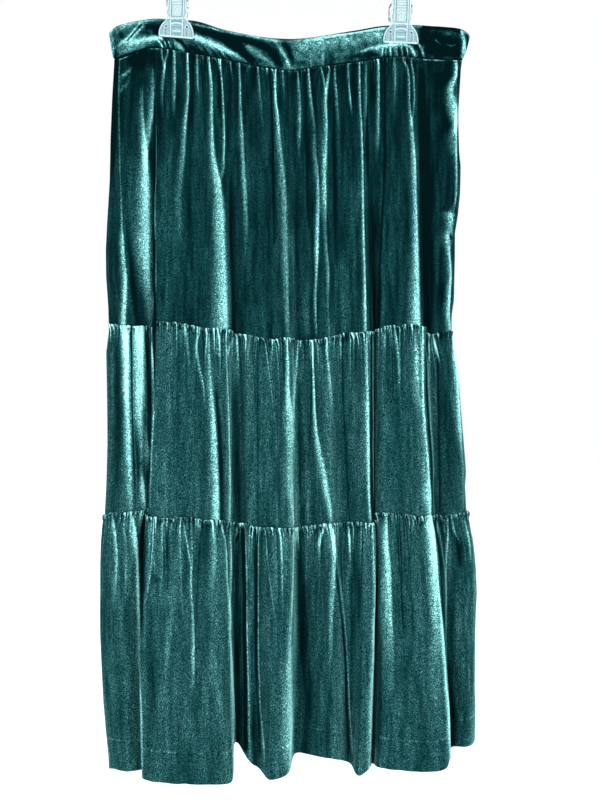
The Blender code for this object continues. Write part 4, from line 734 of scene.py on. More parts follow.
# ---------------------------------------------------------------- node helpers
class Nodes:
    """A new material whose nodes are added one by one. In an input's name, _ stands for a space."""

    def __init__(self, name):
        self.material = bpy.data.materials.new(name)
        self.material.use_nodes = True
        self.tree = self.material.node_tree

    def fill(self, node, inputs):
        for name, value in inputs.items():
            self.put(node.inputs[name.replace("_", " ")], value)

    def put(self, socket, value):
        if isinstance(value, bpy.types.NodeSocket):
            self.tree.links.new(value, socket)
        else:
            socket.default_value = value

    def add(self, kind, **inputs):
        node = self.tree.nodes.new(kind)
        self.fill(node, inputs)
        return node

    def finish(self, **inputs):
        """Sets the shader's inputs and gives the material."""
        self.fill(self.tree.nodes["Principled BSDF"], inputs)
        return self.material

    def attribute(self, name):
        node = self.add("ShaderNodeAttribute")
        node.attribute_name = name
        return node.outputs["Fac"]

    def math(self, operation, a, b, clamp=False):
        node = self.add("ShaderNodeMath")
        node.operation = operation
        node.use_clamp = clamp
        self.put(node.inputs[0], a)
        self.put(node.inputs[1], b)
        return node.outputs[0]

    def total(self, first, *terms, clamp=False):
        for k, term in enumerate(terms, 1):
            first = self.math("ADD", first, term, clamp and k == len(terms))
        return first

    def swing(self, factor, strength, middle=0.5):
        """How far a factor is from its middle, times a strength."""
        return self.math("MULTIPLY", self.math("SUBTRACT", factor, middle), strength)

    def noise(self, scale, detail, roughness):
        """Noise with so many waves a metre along each axis."""
        place = self.add("ShaderNodeTexCoord").outputs["Object"]
        place = self.add("ShaderNodeMapping", Vector=place, Scale=scale).outputs["Vector"]
        node = self.add("ShaderNodeTexNoise", Vector=place, Scale=1.0, Detail=detail, Roughness=roughness)
        return node.outputs["Fac"]

    def ramp(self, factor, stops):
        """A colour ramp. A stop is its position and its colour, or one number for a grey."""
        node = self.add("ShaderNodeValToRGB", Fac=factor)
        elements = node.color_ramp.elements
        while len(elements) > 1:
            elements.remove(elements[-1])
        for k, (position, color) in enumerate(stops):
            element = elements.new(position) if k else elements[0]
            element.position = position
            element.color = (*np.broadcast_to(color, 3), 1.0)
        return node.outputs["Color"]

    def bump(self, height, strength, distance):
        node = self.add("ShaderNodeBump", Strength=strength, Distance=distance, Height=height)
        return node.outputs["Normal"]


# ---------------------------------------------------------------- materials
# Noise scales, in waves a metre. Velvet's are finer across the cloth than down it.
PATCH_SCALE = (80.0, 80.0, 7.0)
PLEAT_SCALE = (480.0, 480.0, 26.0)
SPECKLE_SCALE = (1000.0, 1000.0, 760.0)
FIBRE_SCALE = (900.0, 900.0, 500.0)
CLOUD_SCALE = (420.0, 420.0, 420.0)
RIPPLE_SCALE = (60.0, 60.0, 60.0)
BRUSHED_SCALE = (300.0, 300.0, 900.0)

EDGE_POWER = 3.0            # how narrowly the painted sheen lightens velvet turning away from the eye
EDGE_PAINTED_SHEEN = 0.5
PATCH_STRENGTH = 0.20
PLEAT_REST = 0.3            # the pleats' middle grey, which changes nothing
GRAIN_STRENGTH = 2.0
SHEEN_TINT = (0.45, 0.95, 0.90, 1.0)

CLEAR_MIDDLE = 0.5          # lightness of clear plastic where shine is 0
SHINE_STRENGTH = 0.40
CLOUD_STRENGTH = 0.5
METAL_SHADE = 0.8


def make_velvet(name, tone):
    """Velvet from near black to pale mint; its colour holds painted highlights, shade and an edge sheen."""
    n = Nodes(name)
    facing = n.add("ShaderNodeLayerWeight", Blend=0.5).outputs["Facing"]
    # Painted sheen: the colour is lighter where the velvet turns away from the eye.
    edge = n.math("MULTIPLY", n.math("POWER", facing, EDGE_POWER), EDGE_PAINTED_SHEEN)
    patches = n.swing(n.noise(PATCH_SCALE, 3.0, 0.6), PATCH_STRENGTH)
    # Painted highlight and shade of fine pleats, as strong as its attribute says.
    painted_pleats = n.ramp(n.noise(PLEAT_SCALE, 2.0, 0.5), PAINTED_PLEAT_GREYS)
    painted_pleats = n.swing(painted_pleats, n.attribute("pleat"), PLEAT_REST)
    # The pile's own tone and patches, with its painted highlights and shade, painted sheen and painted
    # pleats.
    tone_and_painted_light = n.total(n.attribute("nap"), edge, patches, tone, painted_pleats)
    strength = n.math("MULTIPLY", n.ramp(tone_and_painted_light, GRAIN), GRAIN_STRENGTH)
    tone_and_painted_light = n.total(tone_and_painted_light, n.swing(n.noise(SPECKLE_SCALE, 1.0, 0.6), strength), clamp=True)
    normal = n.bump(n.noise(FIBRE_SCALE, 2.0, 0.6), 0.3, 0.6 * MM)
    return n.finish(Base_Color=n.ramp(tone_and_painted_light, PILE_COLORS), Roughness=0.9, Specular_IOR_Level=0.0,
                    Sheen_Weight=0.04, Sheen_Roughness=0.4, Sheen_Tint=SHEEN_TINT, Normal=normal)


def make_clear_plastic():
    """Clear plastic, bluish over what lies behind it; the attribute shine paints its highlights and shade."""
    n = Nodes("clear_plastic")
    cloud = n.noise(CLOUD_SCALE, 3.0, 0.6)
    shine = n.math("MULTIPLY", n.attribute("shine"), SHINE_STRENGTH)
    lightness = n.total(shine, n.swing(cloud, CLOUD_STRENGTH), CLEAR_MIDDLE, clamp=True)
    return n.finish(Base_Color=n.ramp(lightness, PLASTIC_COLORS), Transmission_Weight=0.3, IOR=1.45,
                    Roughness=n.ramp(cloud, ((0.3, 0.10), (0.7, 0.22))), Normal=n.bump(cloud, 0.2, 0.4 * MM))


def make_bar_plastic():
    """The same plastic where it is a thin web, nearly unseen but for its rims."""
    n = Nodes("bar_plastic")
    ripple = n.noise(RIPPLE_SCALE, 3.0, 0.5)
    return n.finish(Base_Color=n.ramp(ripple, ((0.3, (0.97, 0.99, 1.0)), (0.7, 1.0))),
                    Roughness=n.ramp(ripple, ((0.3, 0.02), (0.7, 0.05))), Transmission_Weight=1.0, IOR=1.12)


def make_metal(name, color, rough_low, rough_high):
    """Brushed wire, with lighter and darker, smoother and rougher streaks."""
    n = Nodes(name)
    grain = n.noise(BRUSHED_SCALE, 3.0, 0.6)
    dark = tuple(METAL_SHADE * c for c in color)
    return n.finish(Base_Color=n.ramp(grain, ((0.25, dark), (0.75, color))), Metallic=1.0,
                    Roughness=n.ramp(grain, ((0.3, rough_low), (0.7, rough_high))))


# ---------------------------------------------------------------- curves through rows
BAND_STEPS = 24             # points from one row to the next
LEVEL_STEPS = 40
STROKE_STEPS = 6


def through(points, per_span, before=None, after=None):
    """Points of a centripetal Catmull-Rom curve through rows, with the same number on each span."""
    rows = np.asarray(points, dtype=float)
    first = 2 * rows[0] - rows[1] if before is None else before
    last = 2 * rows[-1] - rows[-2] if after is None else after
    rows = np.vstack([first, rows, last])
    out = []
    for p0, p1, p2, p3 in zip(rows, rows[1:], rows[2:], rows[3:]):
        t0 = 0.0
        t1 = t0 + math.sqrt(np.linalg.norm(p1 - p0))
        t2 = t1 + math.sqrt(np.linalg.norm(p2 - p1))
        t3 = t2 + math.sqrt(np.linalg.norm(p3 - p2))
        t = np.linspace(t1, t2, per_span, endpoint=False)[:, None]
        a1 = (t1 - t) / (t1 - t0) * p0 + (t - t0) / (t1 - t0) * p1
        a2 = (t2 - t) / (t2 - t1) * p1 + (t - t1) / (t2 - t1) * p2
        a3 = (t3 - t) / (t3 - t2) * p2 + (t - t2) / (t3 - t2) * p3
        b1 = (t2 - t) / (t2 - t0) * a1 + (t - t0) / (t2 - t0) * a2
        b2 = (t3 - t) / (t3 - t1) * a2 + (t - t1) / (t3 - t1) * a3
        out.append((t2 - t) / (t2 - t1) * b1 + (t - t1) / (t2 - t1) * b2)
    out.append(rows[-2:-1])
    return np.vstack(out)


def round_ends(rows, depth_column, steps):
    """The curve through a level's rows, which leaves the side seams squarely."""
    turned = np.ones(rows.shape[1])
    turned[depth_column] = -1
    return through(rows, steps, rows[1] * turned, rows[-2] * turned)


def band_profile(table):
    """A waistband's x_top, x_low, depth, top and low along its length, finely, in order of x_low."""
    profile = round_ends(np.array([row[1:] for row in table], dtype=float), 2, BAND_STEPS)
    return profile[np.argsort(profile[:, 1])]


def band_at(profile, x_low):
    """Columns x_top, depth, top and low of a waistband where its lower edge is at x_low."""
    return [np.interp(x_low, profile[:, 1], profile[:, column]) for column in (0, 2, 3, 4)]


def tier_curves(folds, side, profile):
    """Cross-sections at the waist, both seams and the hem, as rows of x, depth and drop."""
    curves = []
    for level in range(4):
        x = np.array([fold.x[level] for fold in folds], dtype=float)
        depth = np.array([fold.depth[level] for fold in folds], dtype=float)
        if level == 0:
            _, band_depth, _, drop = band_at(profile, x)
            depth += band_depth
        else:
            drop = [fold.drop[level - 1] for fold in folds]
        curves.append(round_ends(np.column_stack([x, side * depth, drop]), 1, LEVEL_STEPS))
    curves[0][:, 2] = band_at(profile, curves[0][:, 0])[3]
    return curves


def back_folds():
    """Full rows for the back, between the front's own side rows."""
    right, left = FRONT_FOLDS[-1], FRONT_FOLDS[0]
    folds = [right]
    for row in BACK_FOLDS:
        depths = [v + row.rise * (c - v) for v, c in zip(BACK_VALLEY, BACK_CREST)]
        drops = []
        for level in (1, 2, 3):
            across = (row.x[level] - left.x[level]) / (right.x[level] - left.x[level])
            straight = left.drop[level - 1] * (1 - across) + right.drop[level - 1] * across
            dip = BACK_SAG[level - 1] * 4 * across * (1 - across)
            drops.append(straight + dip + BACK_LIFT[level - 1] * (row.rise - BACK_LEVEL_RISE))
        folds.append(Fold(row.name, row.x, depths, drops))
    folds.append(left)
    return folds


# ---------------------------------------------------------------- noise and bells
# Noise added to a relief or nap: its strength, its waves' length down and along the cloth, and its seed.
Wave = namedtuple("Wave", "strength down along seed")
# A ridge, groove, light or dark line along an edge: its strength, how far its middle is from the edge, and
# how far from its middle it has fallen to 0.37.
Line = namedtuple("Line", "strength middle spread")
# What comes and goes along the cloth: its middle and swing, the length of its waves, and its seed.
Patchy = namedtuple("Patchy", "middle swing length seed")


def ease(t):
    t = np.clip(t, 0.0, 1.0)
    return t * t * (3 - 2 * t)


def bell(distance, spread):
    return np.exp(-((distance / spread) ** 2))


def along_edge(distance, line):
    return line.strength * bell(distance - line.middle, line.spread)


def smooth_noise(a, b, seed):
    """Smooth noise from -1 to 1 at lattice coordinates a, b."""
    a = np.asarray(a) - np.min(a)
    b = np.asarray(b) - np.min(b)
    lattice = np.random.default_rng(seed).uniform(-1, 1, (int(np.max(a)) + 3, int(np.max(b)) + 3))
    i = np.floor(a).astype(int)
    j = np.floor(b).astype(int)
    u = ease(a - i)
    v = ease(b - j)
    low = lattice[i, j] * (1 - v) + lattice[i, j + 1] * v
    high = lattice[i + 1, j] * (1 - v) + lattice[i + 1, j + 1] * v
    return low * (1 - u) + high * u


def noise_along(a, seed):
    return smooth_noise(a, 0 * a, seed)


def patchy(along, seed, row):
    return row.middle + row.swing * noise_along(along / row.length, seed + row.seed)


def waves(down, along, seed, table):
    return sum(w.strength * smooth_noise(down / w.down, along / w.along, seed + w.seed) for w in table)


# ---------------------------------------------------------------- gathers
# One size of gather: mean spacing, height, reach down from the seam, and shine of its painted highlights.
Gather = namedtuple("Gather", "spacing height reach shine")

# Ranges of a gather's own shares of these, and a power that makes few of them long or bright.
SPACINGS = (0.45, 1.7)
HEIGHTS = (0.3, 1.15)
REACHES = (0.35, 2.75)
SHINES = (0.25, 1.0)
FEW = 2.5
DRIFT = 0.09                # sideways, for each millimetre down
DRIFT_REACHES = 3           # down to where the drift goes on
PUFF_POWER = 0.75           # fuller than a sine
PUFF_FLOOR = 0.4            # share of a puff's height that lies below the cloth's own level
FADE_POWER = 1.6
# A painted highlight runs round each puff, like an arch.
ARCH_MARGIN = 1.2           # from the crease
ARCH_LEAST = 0.4
ARCH_HEIGHT = 4.0
ARCH_TOP = 0.8              # below the seam
ARCH_LINE = Line(1.0, 0.0, 0.64)
ARCH_LEFT = 0.4             # strength of its left leg
ARCH_TURN = -0.3            # where that begins
# Painted shade along each crease, and inside each puff below the seam.
CREASE_LINE = Line(-0.20, 0.0, 0.6)
PUFF_SHADE = Line(-0.16, 0.0, 9.0)


def gathers(arc, below, seed, size):
    """Puffs between sharp creases that start at a seam, each with its own height, reach and drift: their
    relief, their painted highlights and shade, and how far each stands at the seam."""
    rng = np.random.default_rng(seed)
    creases = [float(arc.min()) - size.spacing]
    while creases[-1] < arc.max() + size.spacing:
        creases.append(creases[-1] + size.spacing * rng.uniform(*SPACINGS))
    creases = np.array(creases)
    number = len(creases)
    heights = rng.uniform(*HEIGHTS, number)
    reaches = size.reach * (REACHES[0] + (REACHES[1] - REACHES[0]) * rng.uniform(0.0, 1.0, number) ** FEW)
    shines = size.shine * rng.uniform(*SHINES, number) ** FEW
    drift = rng.normal(0.0, DRIFT, number)
    at = arc - np.interp(arc, creases, drift) * np.minimum(below, DRIFT_REACHES * size.reach)
    k = np.clip(np.searchsorted(creases, at, side="right") - 1, 0, number - 2)
    width = creases[k + 1] - creases[k]
    left = at - creases[k]
    puff = np.sin(math.pi * np.clip(left / width, 0, 1)) ** PUFF_POWER
    fade = np.exp(-((below / reaches[k]) ** FADE_POWER))
    relief = size.height * heights[k] * (puff - PUFF_FLOOR) * fade
    radius = np.maximum(0.5 * width - ARCH_MARGIN, ARCH_LEAST)
    across = (left - 0.5 * width) / radius
    arch = np.minimum(0.5 * width, ARCH_HEIGHT)
    up = np.clip((arch + ARCH_TOP - below) / arch, 0.0, None)
    from_arch = (np.hypot(across, up) - 1) * radius
    # Painted highlight round the arch, painted shade in the crease and in the puff below the seam.
    nap = np.where(across > ARCH_TURN, 1.0, ARCH_LEFT) * shines[k] * along_edge(from_arch, ARCH_LINE)
    nap += along_edge(np.minimum(left, width - left), CREASE_LINE)
    nap += np.clip(1 - np.abs(across), 0, 1) * along_edge(below, PUFF_SHADE)
    return relief, nap * fade, heights[k] * puff


# ---------------------------------------------------------------- strokes
PAINTED_HIGHLIGHT_STROKE = 0.74         # painted highlight that shine 1 adds
PAINTED_SHADE_STROKE = 0.6           # painted shade that shine -1 takes away
RIDGE_LIFT = 0.42           # a stroke's relief, in half widths
RIDGE_SHIFT = 0.55          # how far a light stroke's crest lies to its left, in half widths
# A stroke that runs down the cloth is sharp on its right if it is light, and on its left if it is dark. Its
# spreads are in half widths.
SHARP_SPREAD = 0.42
SHARP_LEAST = 0.6
SOFT_SPREAD = 1.35
TONE_SHIFT = 0.1
RIDGE_SPREAD = 1.25
END_FADE = 8.0              # over this, before its first row and after its last
PAST_END = 2.0              # before that begins at its end

# The back's strokes: painted highlight on folds of rise above BACK_LIT, painted shade at rise BACK_DARK or
# less.
BACK_SEED = 90
BACK_LIT = 0.6
BACK_DARK = 0.1
BACK_PARTS = (0.01, 0.15, 0.35, 0.6, 0.85, 0.99)
BACK_SHIFT = 5.0
BACK_WANDER = 0.9
LIT_WIDTHS = (1.4, 3.6)
DARK_WIDTHS = (2.5, 4.5)
LIT_SHINES = (0.45, 0.9)
DARK_SHINE = -0.35
PIN_ENDS = (-180.0, 175.0)
PIN_SPACINGS = (8.0, 24.0)
PIN_LENGTHS = (20, 110)
PIN_WIDTHS = (1.0, 2.0)
PIN_SHINES = (0.3, 0.8)
PIN_LEAN = 2.0
PIN_TOP = 1                 # below the seam
PIN_BELLY = 1.2             # its middle's width, in its ends'
PIN_CURL = 1.5              # its end's lean, in its middle's
PIN_END_SHINE = 0.05


def back_strokes(level, top, bottom):
    """Strokes of painted highlight along the crests of the back's folds, of painted shade in its hollows,
    and short painted highlights where its gathers start, between the curves above and below a tier."""
    rng = np.random.default_rng(BACK_SEED + level)
    top, bottom = top[np.argsort(top[:, 0])], bottom[np.argsort(bottom[:, 0])]
    strokes = []
    for fold in BACK_FOLDS:
        lit = fold.rise > BACK_LIT
        if not lit and fold.rise > BACK_DARK:
            continue
        ends = np.array(fold.x[level:level + 2]) + (BACK_SHIFT if lit else 0.0)
        drops = [np.interp(x, curve[:, 0], curve[:, 2]) for x, curve in zip(ends, (top, bottom))]
        rows = []
        for part in BACK_PARTS:
            x, drop = (np.interp(part, (0, 1), pair) for pair in (ends, drops))
            width = rng.uniform(*(LIT_WIDTHS if lit else DARK_WIDTHS))
            x += rng.normal(0.0, BACK_WANDER)
            rows.append((x, drop, width, rng.uniform(*LIT_SHINES) if lit else DARK_SHINE))
        strokes.append(rows)
    x, last = PIN_ENDS
    while x < last:
        x += rng.uniform(*PIN_SPACINGS)
        drop = np.interp(x, top[:, 0], top[:, 2])
        length, width, shine = (rng.uniform(*span) for span in (PIN_LENGTHS, PIN_WIDTHS, PIN_SHINES))
        lean = rng.normal(0.0, PIN_LEAN)
        strokes.append(((x, drop + PIN_TOP, width, shine),
                        (x + lean, drop + 0.5 * length, PIN_BELLY * width, shine),
                        (x + PIN_CURL * lean, drop + length, width, PIN_END_SHINE)))
    return strokes


# Painted highlight of a light stroke, painted shade of a dark one.
def stroke_painted_light(shine):
    return np.where(shine > 0, PAINTED_HIGHLIGHT_STROKE, PAINTED_SHADE_STROKE) * shine


def paint_strokes_down(x, drop, strokes):
    """Relief, and painted highlight and shade, of strokes that run down the cloth."""
    relief = np.zeros_like(x)
    nap = np.zeros_like(x)
    for rows in strokes:
        path = through(rows, STROKE_STEPS)
        centre, width, shine = (np.interp(drop, path[:, 1], path[:, k]) for k in (0, 2, 3))
        begin, end = path[0, 1] - END_FADE, path[-1, 1] + PAST_END + END_FADE
        ends = ease((drop - begin) / END_FADE) * ease((end - drop) / END_FADE)
        lit = np.where(shine > 0, 1, -1)
        away = x - centre - TONE_SHIFT * width * lit
        spread = np.where(away * lit > 0, np.maximum(SHARP_SPREAD * width, SHARP_LEAST), SOFT_SPREAD * width)
        nap += stroke_painted_light(shine) * ends * bell(away, spread)
        crest = centre - RIDGE_SHIFT * width * (shine > 0)
        relief += RIDGE_LIFT * width * shine * ends * bell(x - crest, RIDGE_SPREAD * width)
    return relief, nap


def paint_strokes_any_way(x, drop, strokes):
    """Relief, and painted highlight and shade, of strokes in any direction."""
    relief = np.zeros_like(x)
    nap = np.zeros_like(x)
    for rows in strokes:
        path = through(rows, STROKE_STEPS)
        nearest = np.full(x.shape, np.inf)
        width = np.ones(x.shape)
        shine = np.zeros(x.shape)
        for a, b in zip(path[:-1], path[1:]):
            step = b[:2] - a[:2]
            t = np.clip(((x - a[0]) * step[0] + (drop - a[1]) * step[1]) / step.dot(step), 0, 1)
            away = np.hypot(x - a[0] - t * step[0], drop - a[1] - t * step[1])
            closer = away < nearest
            nearest = np.where(closer, away, nearest)
            width = np.where(closer, a[2] + t * (b[2] - a[2]), width)
            shine = np.where(closer, a[3] + t * (b[3] - a[3]), shine)
        shape = bell(nearest, width)
        nap += stroke_painted_light(shine) * shape
        relief += RIDGE_LIFT * width * shine * shape
    return relief, nap


# ---------------------------------------------------------------- cloth shells
SKIP = 3                    # the inner grid has every third point of the outer one
# The inner face's value, a little darker than plain cloth.
INNER_FACE_TONE = -0.1
OUTLINE_FROM = (-150, 140)  # the outline's shift grows from here to the sides
OUTLINE_WIDTH = 50

# Painted light on flanks that face right, painted shade on flanks that face left and in hollows.
FLANK_LIGHT = 0.05
FLANK_SHADE = 0.06
HOLLOW_SHADE = 0.12
# How far a flank turns right before painted light begins, and is full, and turns left for painted shade.
RIGHT_FLANK = (0.15, 0.90)
LEFT_FLANK = (0.2, 0.90)
HOLLOW_REACH = 24           # columns to each side that a hollow is measured from
HOLLOW_DEPTH = 7.0
HOLLOW_RANGE = (-0.6, 1.0)


def whole_spans(count):
    """About so many points, so that the inner grid ends where the outer one does."""
    return int(count) // SKIP * SKIP + 1


def shift_outline(grid):
    """Moves the cloth beside the side seams out to the true outline."""
    x, drop = grid[..., 0], grid[..., 2]
    left, right = (np.interp(drop, *np.array(rows, dtype=float).T) for rows in (LEFT_OUTLINE, RIGHT_OUTLINE))
    grid[..., 0] = x - left * ease((OUTLINE_FROM[0] - x) / OUTLINE_WIDTH) \
        + right * ease((x - OUTLINE_FROM[1]) / OUTLINE_WIDTH)


def square_ends(grid, normals):
    """Points the normals at the side seams straight out."""
    for end in (0, -1):
        normals[:, end] = 0
        normals[:, end, 0] = np.sign(grid[:, end, 0])
    return normals


def level_normals(grid):
    """Level unit normals that point out of the skirt, for a grid of rows of (x, y, drop) points."""
    along = np.gradient(grid[..., :2], axis=1)
    length = np.linalg.norm(along, axis=2)[..., None]
    return square_ends(grid, np.stack([along[..., 1], -along[..., 0]], axis=2) / np.maximum(length, 1e-6))


def outward_normals(grid, side):
    """Unit normals of the cloth's surface, away from the wearer."""
    normals = np.cross(np.gradient(grid, axis=0), np.gradient(grid, axis=1))
    normals /= np.maximum(np.linalg.norm(normals, axis=2)[..., None], 1e-9)
    return -normals if normals[..., 1].mean() * side < 0 else normals


def even_columns(top, bottom, count):
    """The same number of places on two curves, evenly spaced along their mean length."""
    steps = [np.linalg.norm(np.diff(c[:, :2], axis=0), axis=1) for c in (top, bottom)]
    arc = np.concatenate([[0.0], np.cumsum((steps[0] + steps[1]) / 2)])
    at = np.linspace(0.0, arc[-1], count)
    resample = [np.column_stack([np.interp(at, arc, c[:, k]) for k in range(3)]) for c in (top, bottom)]
    return resample[0], resample[1], at


def with_painted_flank_and_hollow_light(grid, side, nap):
    """Adds painted light on flanks facing right, painted shade on flanks facing left and in hollows."""
    right = outward_normals(grid, side)[..., 0]
    depth = grid[..., 1] * side
    kernel = np.hanning(2 * HOLLOW_REACH + 1)
    kernel /= kernel.sum()
    padded = np.pad(depth, ((0, 0), (HOLLOW_REACH, HOLLOW_REACH)), mode="edge")
    around = np.stack([np.convolve(row, kernel, mode="valid") for row in padded])
    hollow = np.clip((around - depth) / HOLLOW_DEPTH, *HOLLOW_RANGE)
    light = ease(np.interp(right, RIGHT_FLANK, (0, 1)))
    dark = ease(np.interp(-right, LEFT_FLANK, (0, 1)))
    return nap + FLANK_LIGHT * light - FLANK_SHADE * dark - HOLLOW_SHADE * hollow


def to_world(points):
    flat = points.reshape(-1, 3)
    return np.column_stack([(flat[:, 0] + SKIRT_X) * MM, flat[:, 1] * MM, (DATUM_Z - flat[:, 2]) * MM])


def add_piece(name, node, slot, points, faces, material, **attributes):
    """A piece that stands for a CAD node, with its faces turned outwards and values for its points."""
    mesh = bpy.data.meshes.new(name)
    mesh.from_pydata(points, [], faces)
    for key, values in attributes.items():
        layer = mesh.attributes.new(key, "FLOAT", "POINT")
        layer.data.foreach_set("value", np.asarray(values, dtype=np.float32))
    bm = bmesh.new()
    bm.from_mesh(mesh)
    bmesh.ops.recalc_face_normals(bm, faces=bm.faces)
    bm.to_mesh(mesh)
    bm.free()
    mesh.materials.append(material)
    piece = add_object(name, mesh)
    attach(piece, "root")
    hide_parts(node)
    return piece


def shell(node, slot, outer, side, thickness, nap, pleat, material):
    """A closed shell: the fine outer grid, an inner grid of every third point, and rims between them."""
    rows, columns = outer.shape[:2]
    normals = square_ends(outer, outward_normals(outer, side))
    inner = (outer - normals * thickness[:, None, None])[::SKIP, ::SKIP]
    points = np.vstack([to_world(outer), to_world(inner)])
    fine = np.arange(rows * columns).reshape(rows, columns)
    coarse = rows * columns + np.arange(inner.shape[0] * inner.shape[1]).reshape(inner.shape[:2])

    def quads(grid):
        return np.stack([grid[:-1, :-1], grid[1:, :-1], grid[1:, 1:], grid[:-1, 1:]], axis=-1).reshape(-1, 4)

    faces = quads(fine).tolist() + quads(coarse)[:, ::-1].tolist()
    for edge in (np.s_[0, ::-1], np.s_[-1], np.s_[:, 0], np.s_[::-1, -1]):
        near, far = fine[edge], coarse[edge].tolist()
        for k in range(len(far) - 1):
            fan = near[k * SKIP:(k + 1) * SKIP + 1]
            faces.append(fan[::-1].tolist() + far[k:k + 2])
    # The outer face's tone with its painted light and shade added; the inner face gets a set value.
    nap = np.concatenate([with_painted_flank_and_hollow_light(outer, side, nap).ravel(), np.full(coarse.size, INNER_FACE_TONE)])
    pleat = np.concatenate([pleat.ravel(), np.zeros(coarse.size)])
    piece = add_piece("cloth_" + node, node, slot, points.tolist(), faces, material, nap=nap, pleat=pleat)
    piece.data.shade_smooth()
    return piece


# ---------------------------------------------------------------- tiers and waistband
# A tier's rows: the first and last steps, as shares of a full one, and how fast steps grow to it.
ROW_TOP, ROW_TOP_GROWTH = 0.22, 5.0
ROW_FOOT, ROW_FOOT_GROWTH = 0.35, 14.0

TIER_WAVES = (Wave(0.6, 60.0, 16.0, 3), Wave(0.25, 22.0, 7.0, 4))
TIER_TONES = (Wave(0.05, 110.0, 9.0, 5), Wave(0.05, 40.0, 4.0, 6), Wave(0.05, 18.0, 2.2, 7))
BAND_WAVES = (Wave(0.4, 12.0, 18.0, 0), Wave(0.2, 5.0, 6.0, 1))
BAND_TONES = (Wave(0.10, 14.0, 16.0, 2), Wave(0.12, 4.0, 3.4, 3))

SEWN_TOP = Line(-1.2, 0.0, 0.8)
SEWN_FOOT = Line(-0.4, 0.0, 1.2)
FRILL = Line(1.0, 2.4, 2.8)
ROLL = Line(1.0, 1.2, 1.1)
ROLL_DROP = 0.9             # how far the frill's roll lifts the cloth over the seam
ROLL_LIGHT = 0.08
HEM_GROOVE = Line(-0.3, 0.0, 1.0)           # in rows from the stitching, as are the next two
HEM_LIGHT = Line(0.22, 0.0, 1.0)
HEM_SHADE = Line(-0.07, 1.6, 1.0)
LOOSE_LIGHT = Line(0.7, 0.9, 0.7)           # along a seam where nothing is gathered
BAND_TOP_ROLL = Line(-1.3, 0.0, 1.4)
BAND_FOOT_ROLL = Line(-0.9, 0.0, 1.4)
BAND_TOP_LIGHT = Line(0.25, 1.5, 1.5)
BAND_FOOT_SHADE = Line(-0.35, 0.0, 1.6)
BAND_ROWS = 49
BAND_CROWN = 0.5            # how far the waistband's middle swells

SIDE_FADE = 8.0             # a tier's relief fades over this at its side seams, and gathers at their ends
BAND_SIDE_FADE = 5.0
SHADOW_DROP = 160.0         # down to where the waistband darkens the cloth
TOP_SHINE = 0.3             # strokes are this much stronger at the seam
TOP_SHINE_DROP = 60.0
FLARE_POWER = 0.6           # below 1, the most flare is above the tier's middle
HEM_RISE = 3.0              # height over which the cloth thickens to the hem's turn
PLEAT_POWER = 1.5
PLEAT_REACH = Patchy(0.7, 0.4, 10.0, 8)     # in the gathers' own
STITCHES = Patchy(0.5, 1.2, 2.2, 9)
LOOSE = Patchy(0.4, 1.4, 4.0, 10)


def row_parts(rows):
    """Parts from 0 to 1 down a tier, closest together at its gathered top and a little at its lower edge."""
    t = np.linspace(0.0, 1.0, rows - 1)
    steps = np.minimum(np.minimum(ROW_TOP + ROW_TOP_GROWTH * t, 1.0), ROW_FOOT + ROW_FOOT_GROWTH * (1 - t))
    return np.concatenate([[0.0], np.cumsum(steps) / steps.sum()])


def add_hem_rows(parts, at):
    """Moves the row nearest to the hem's stitching onto it, with two more close above and one close below."""
    k = int(np.argmin(np.abs(parts - at)))
    return np.concatenate([parts[:k], at + np.array([-2.0, -1.0, 0.0, 1.0]) * HEM_STEP, parts[k + 1:]])


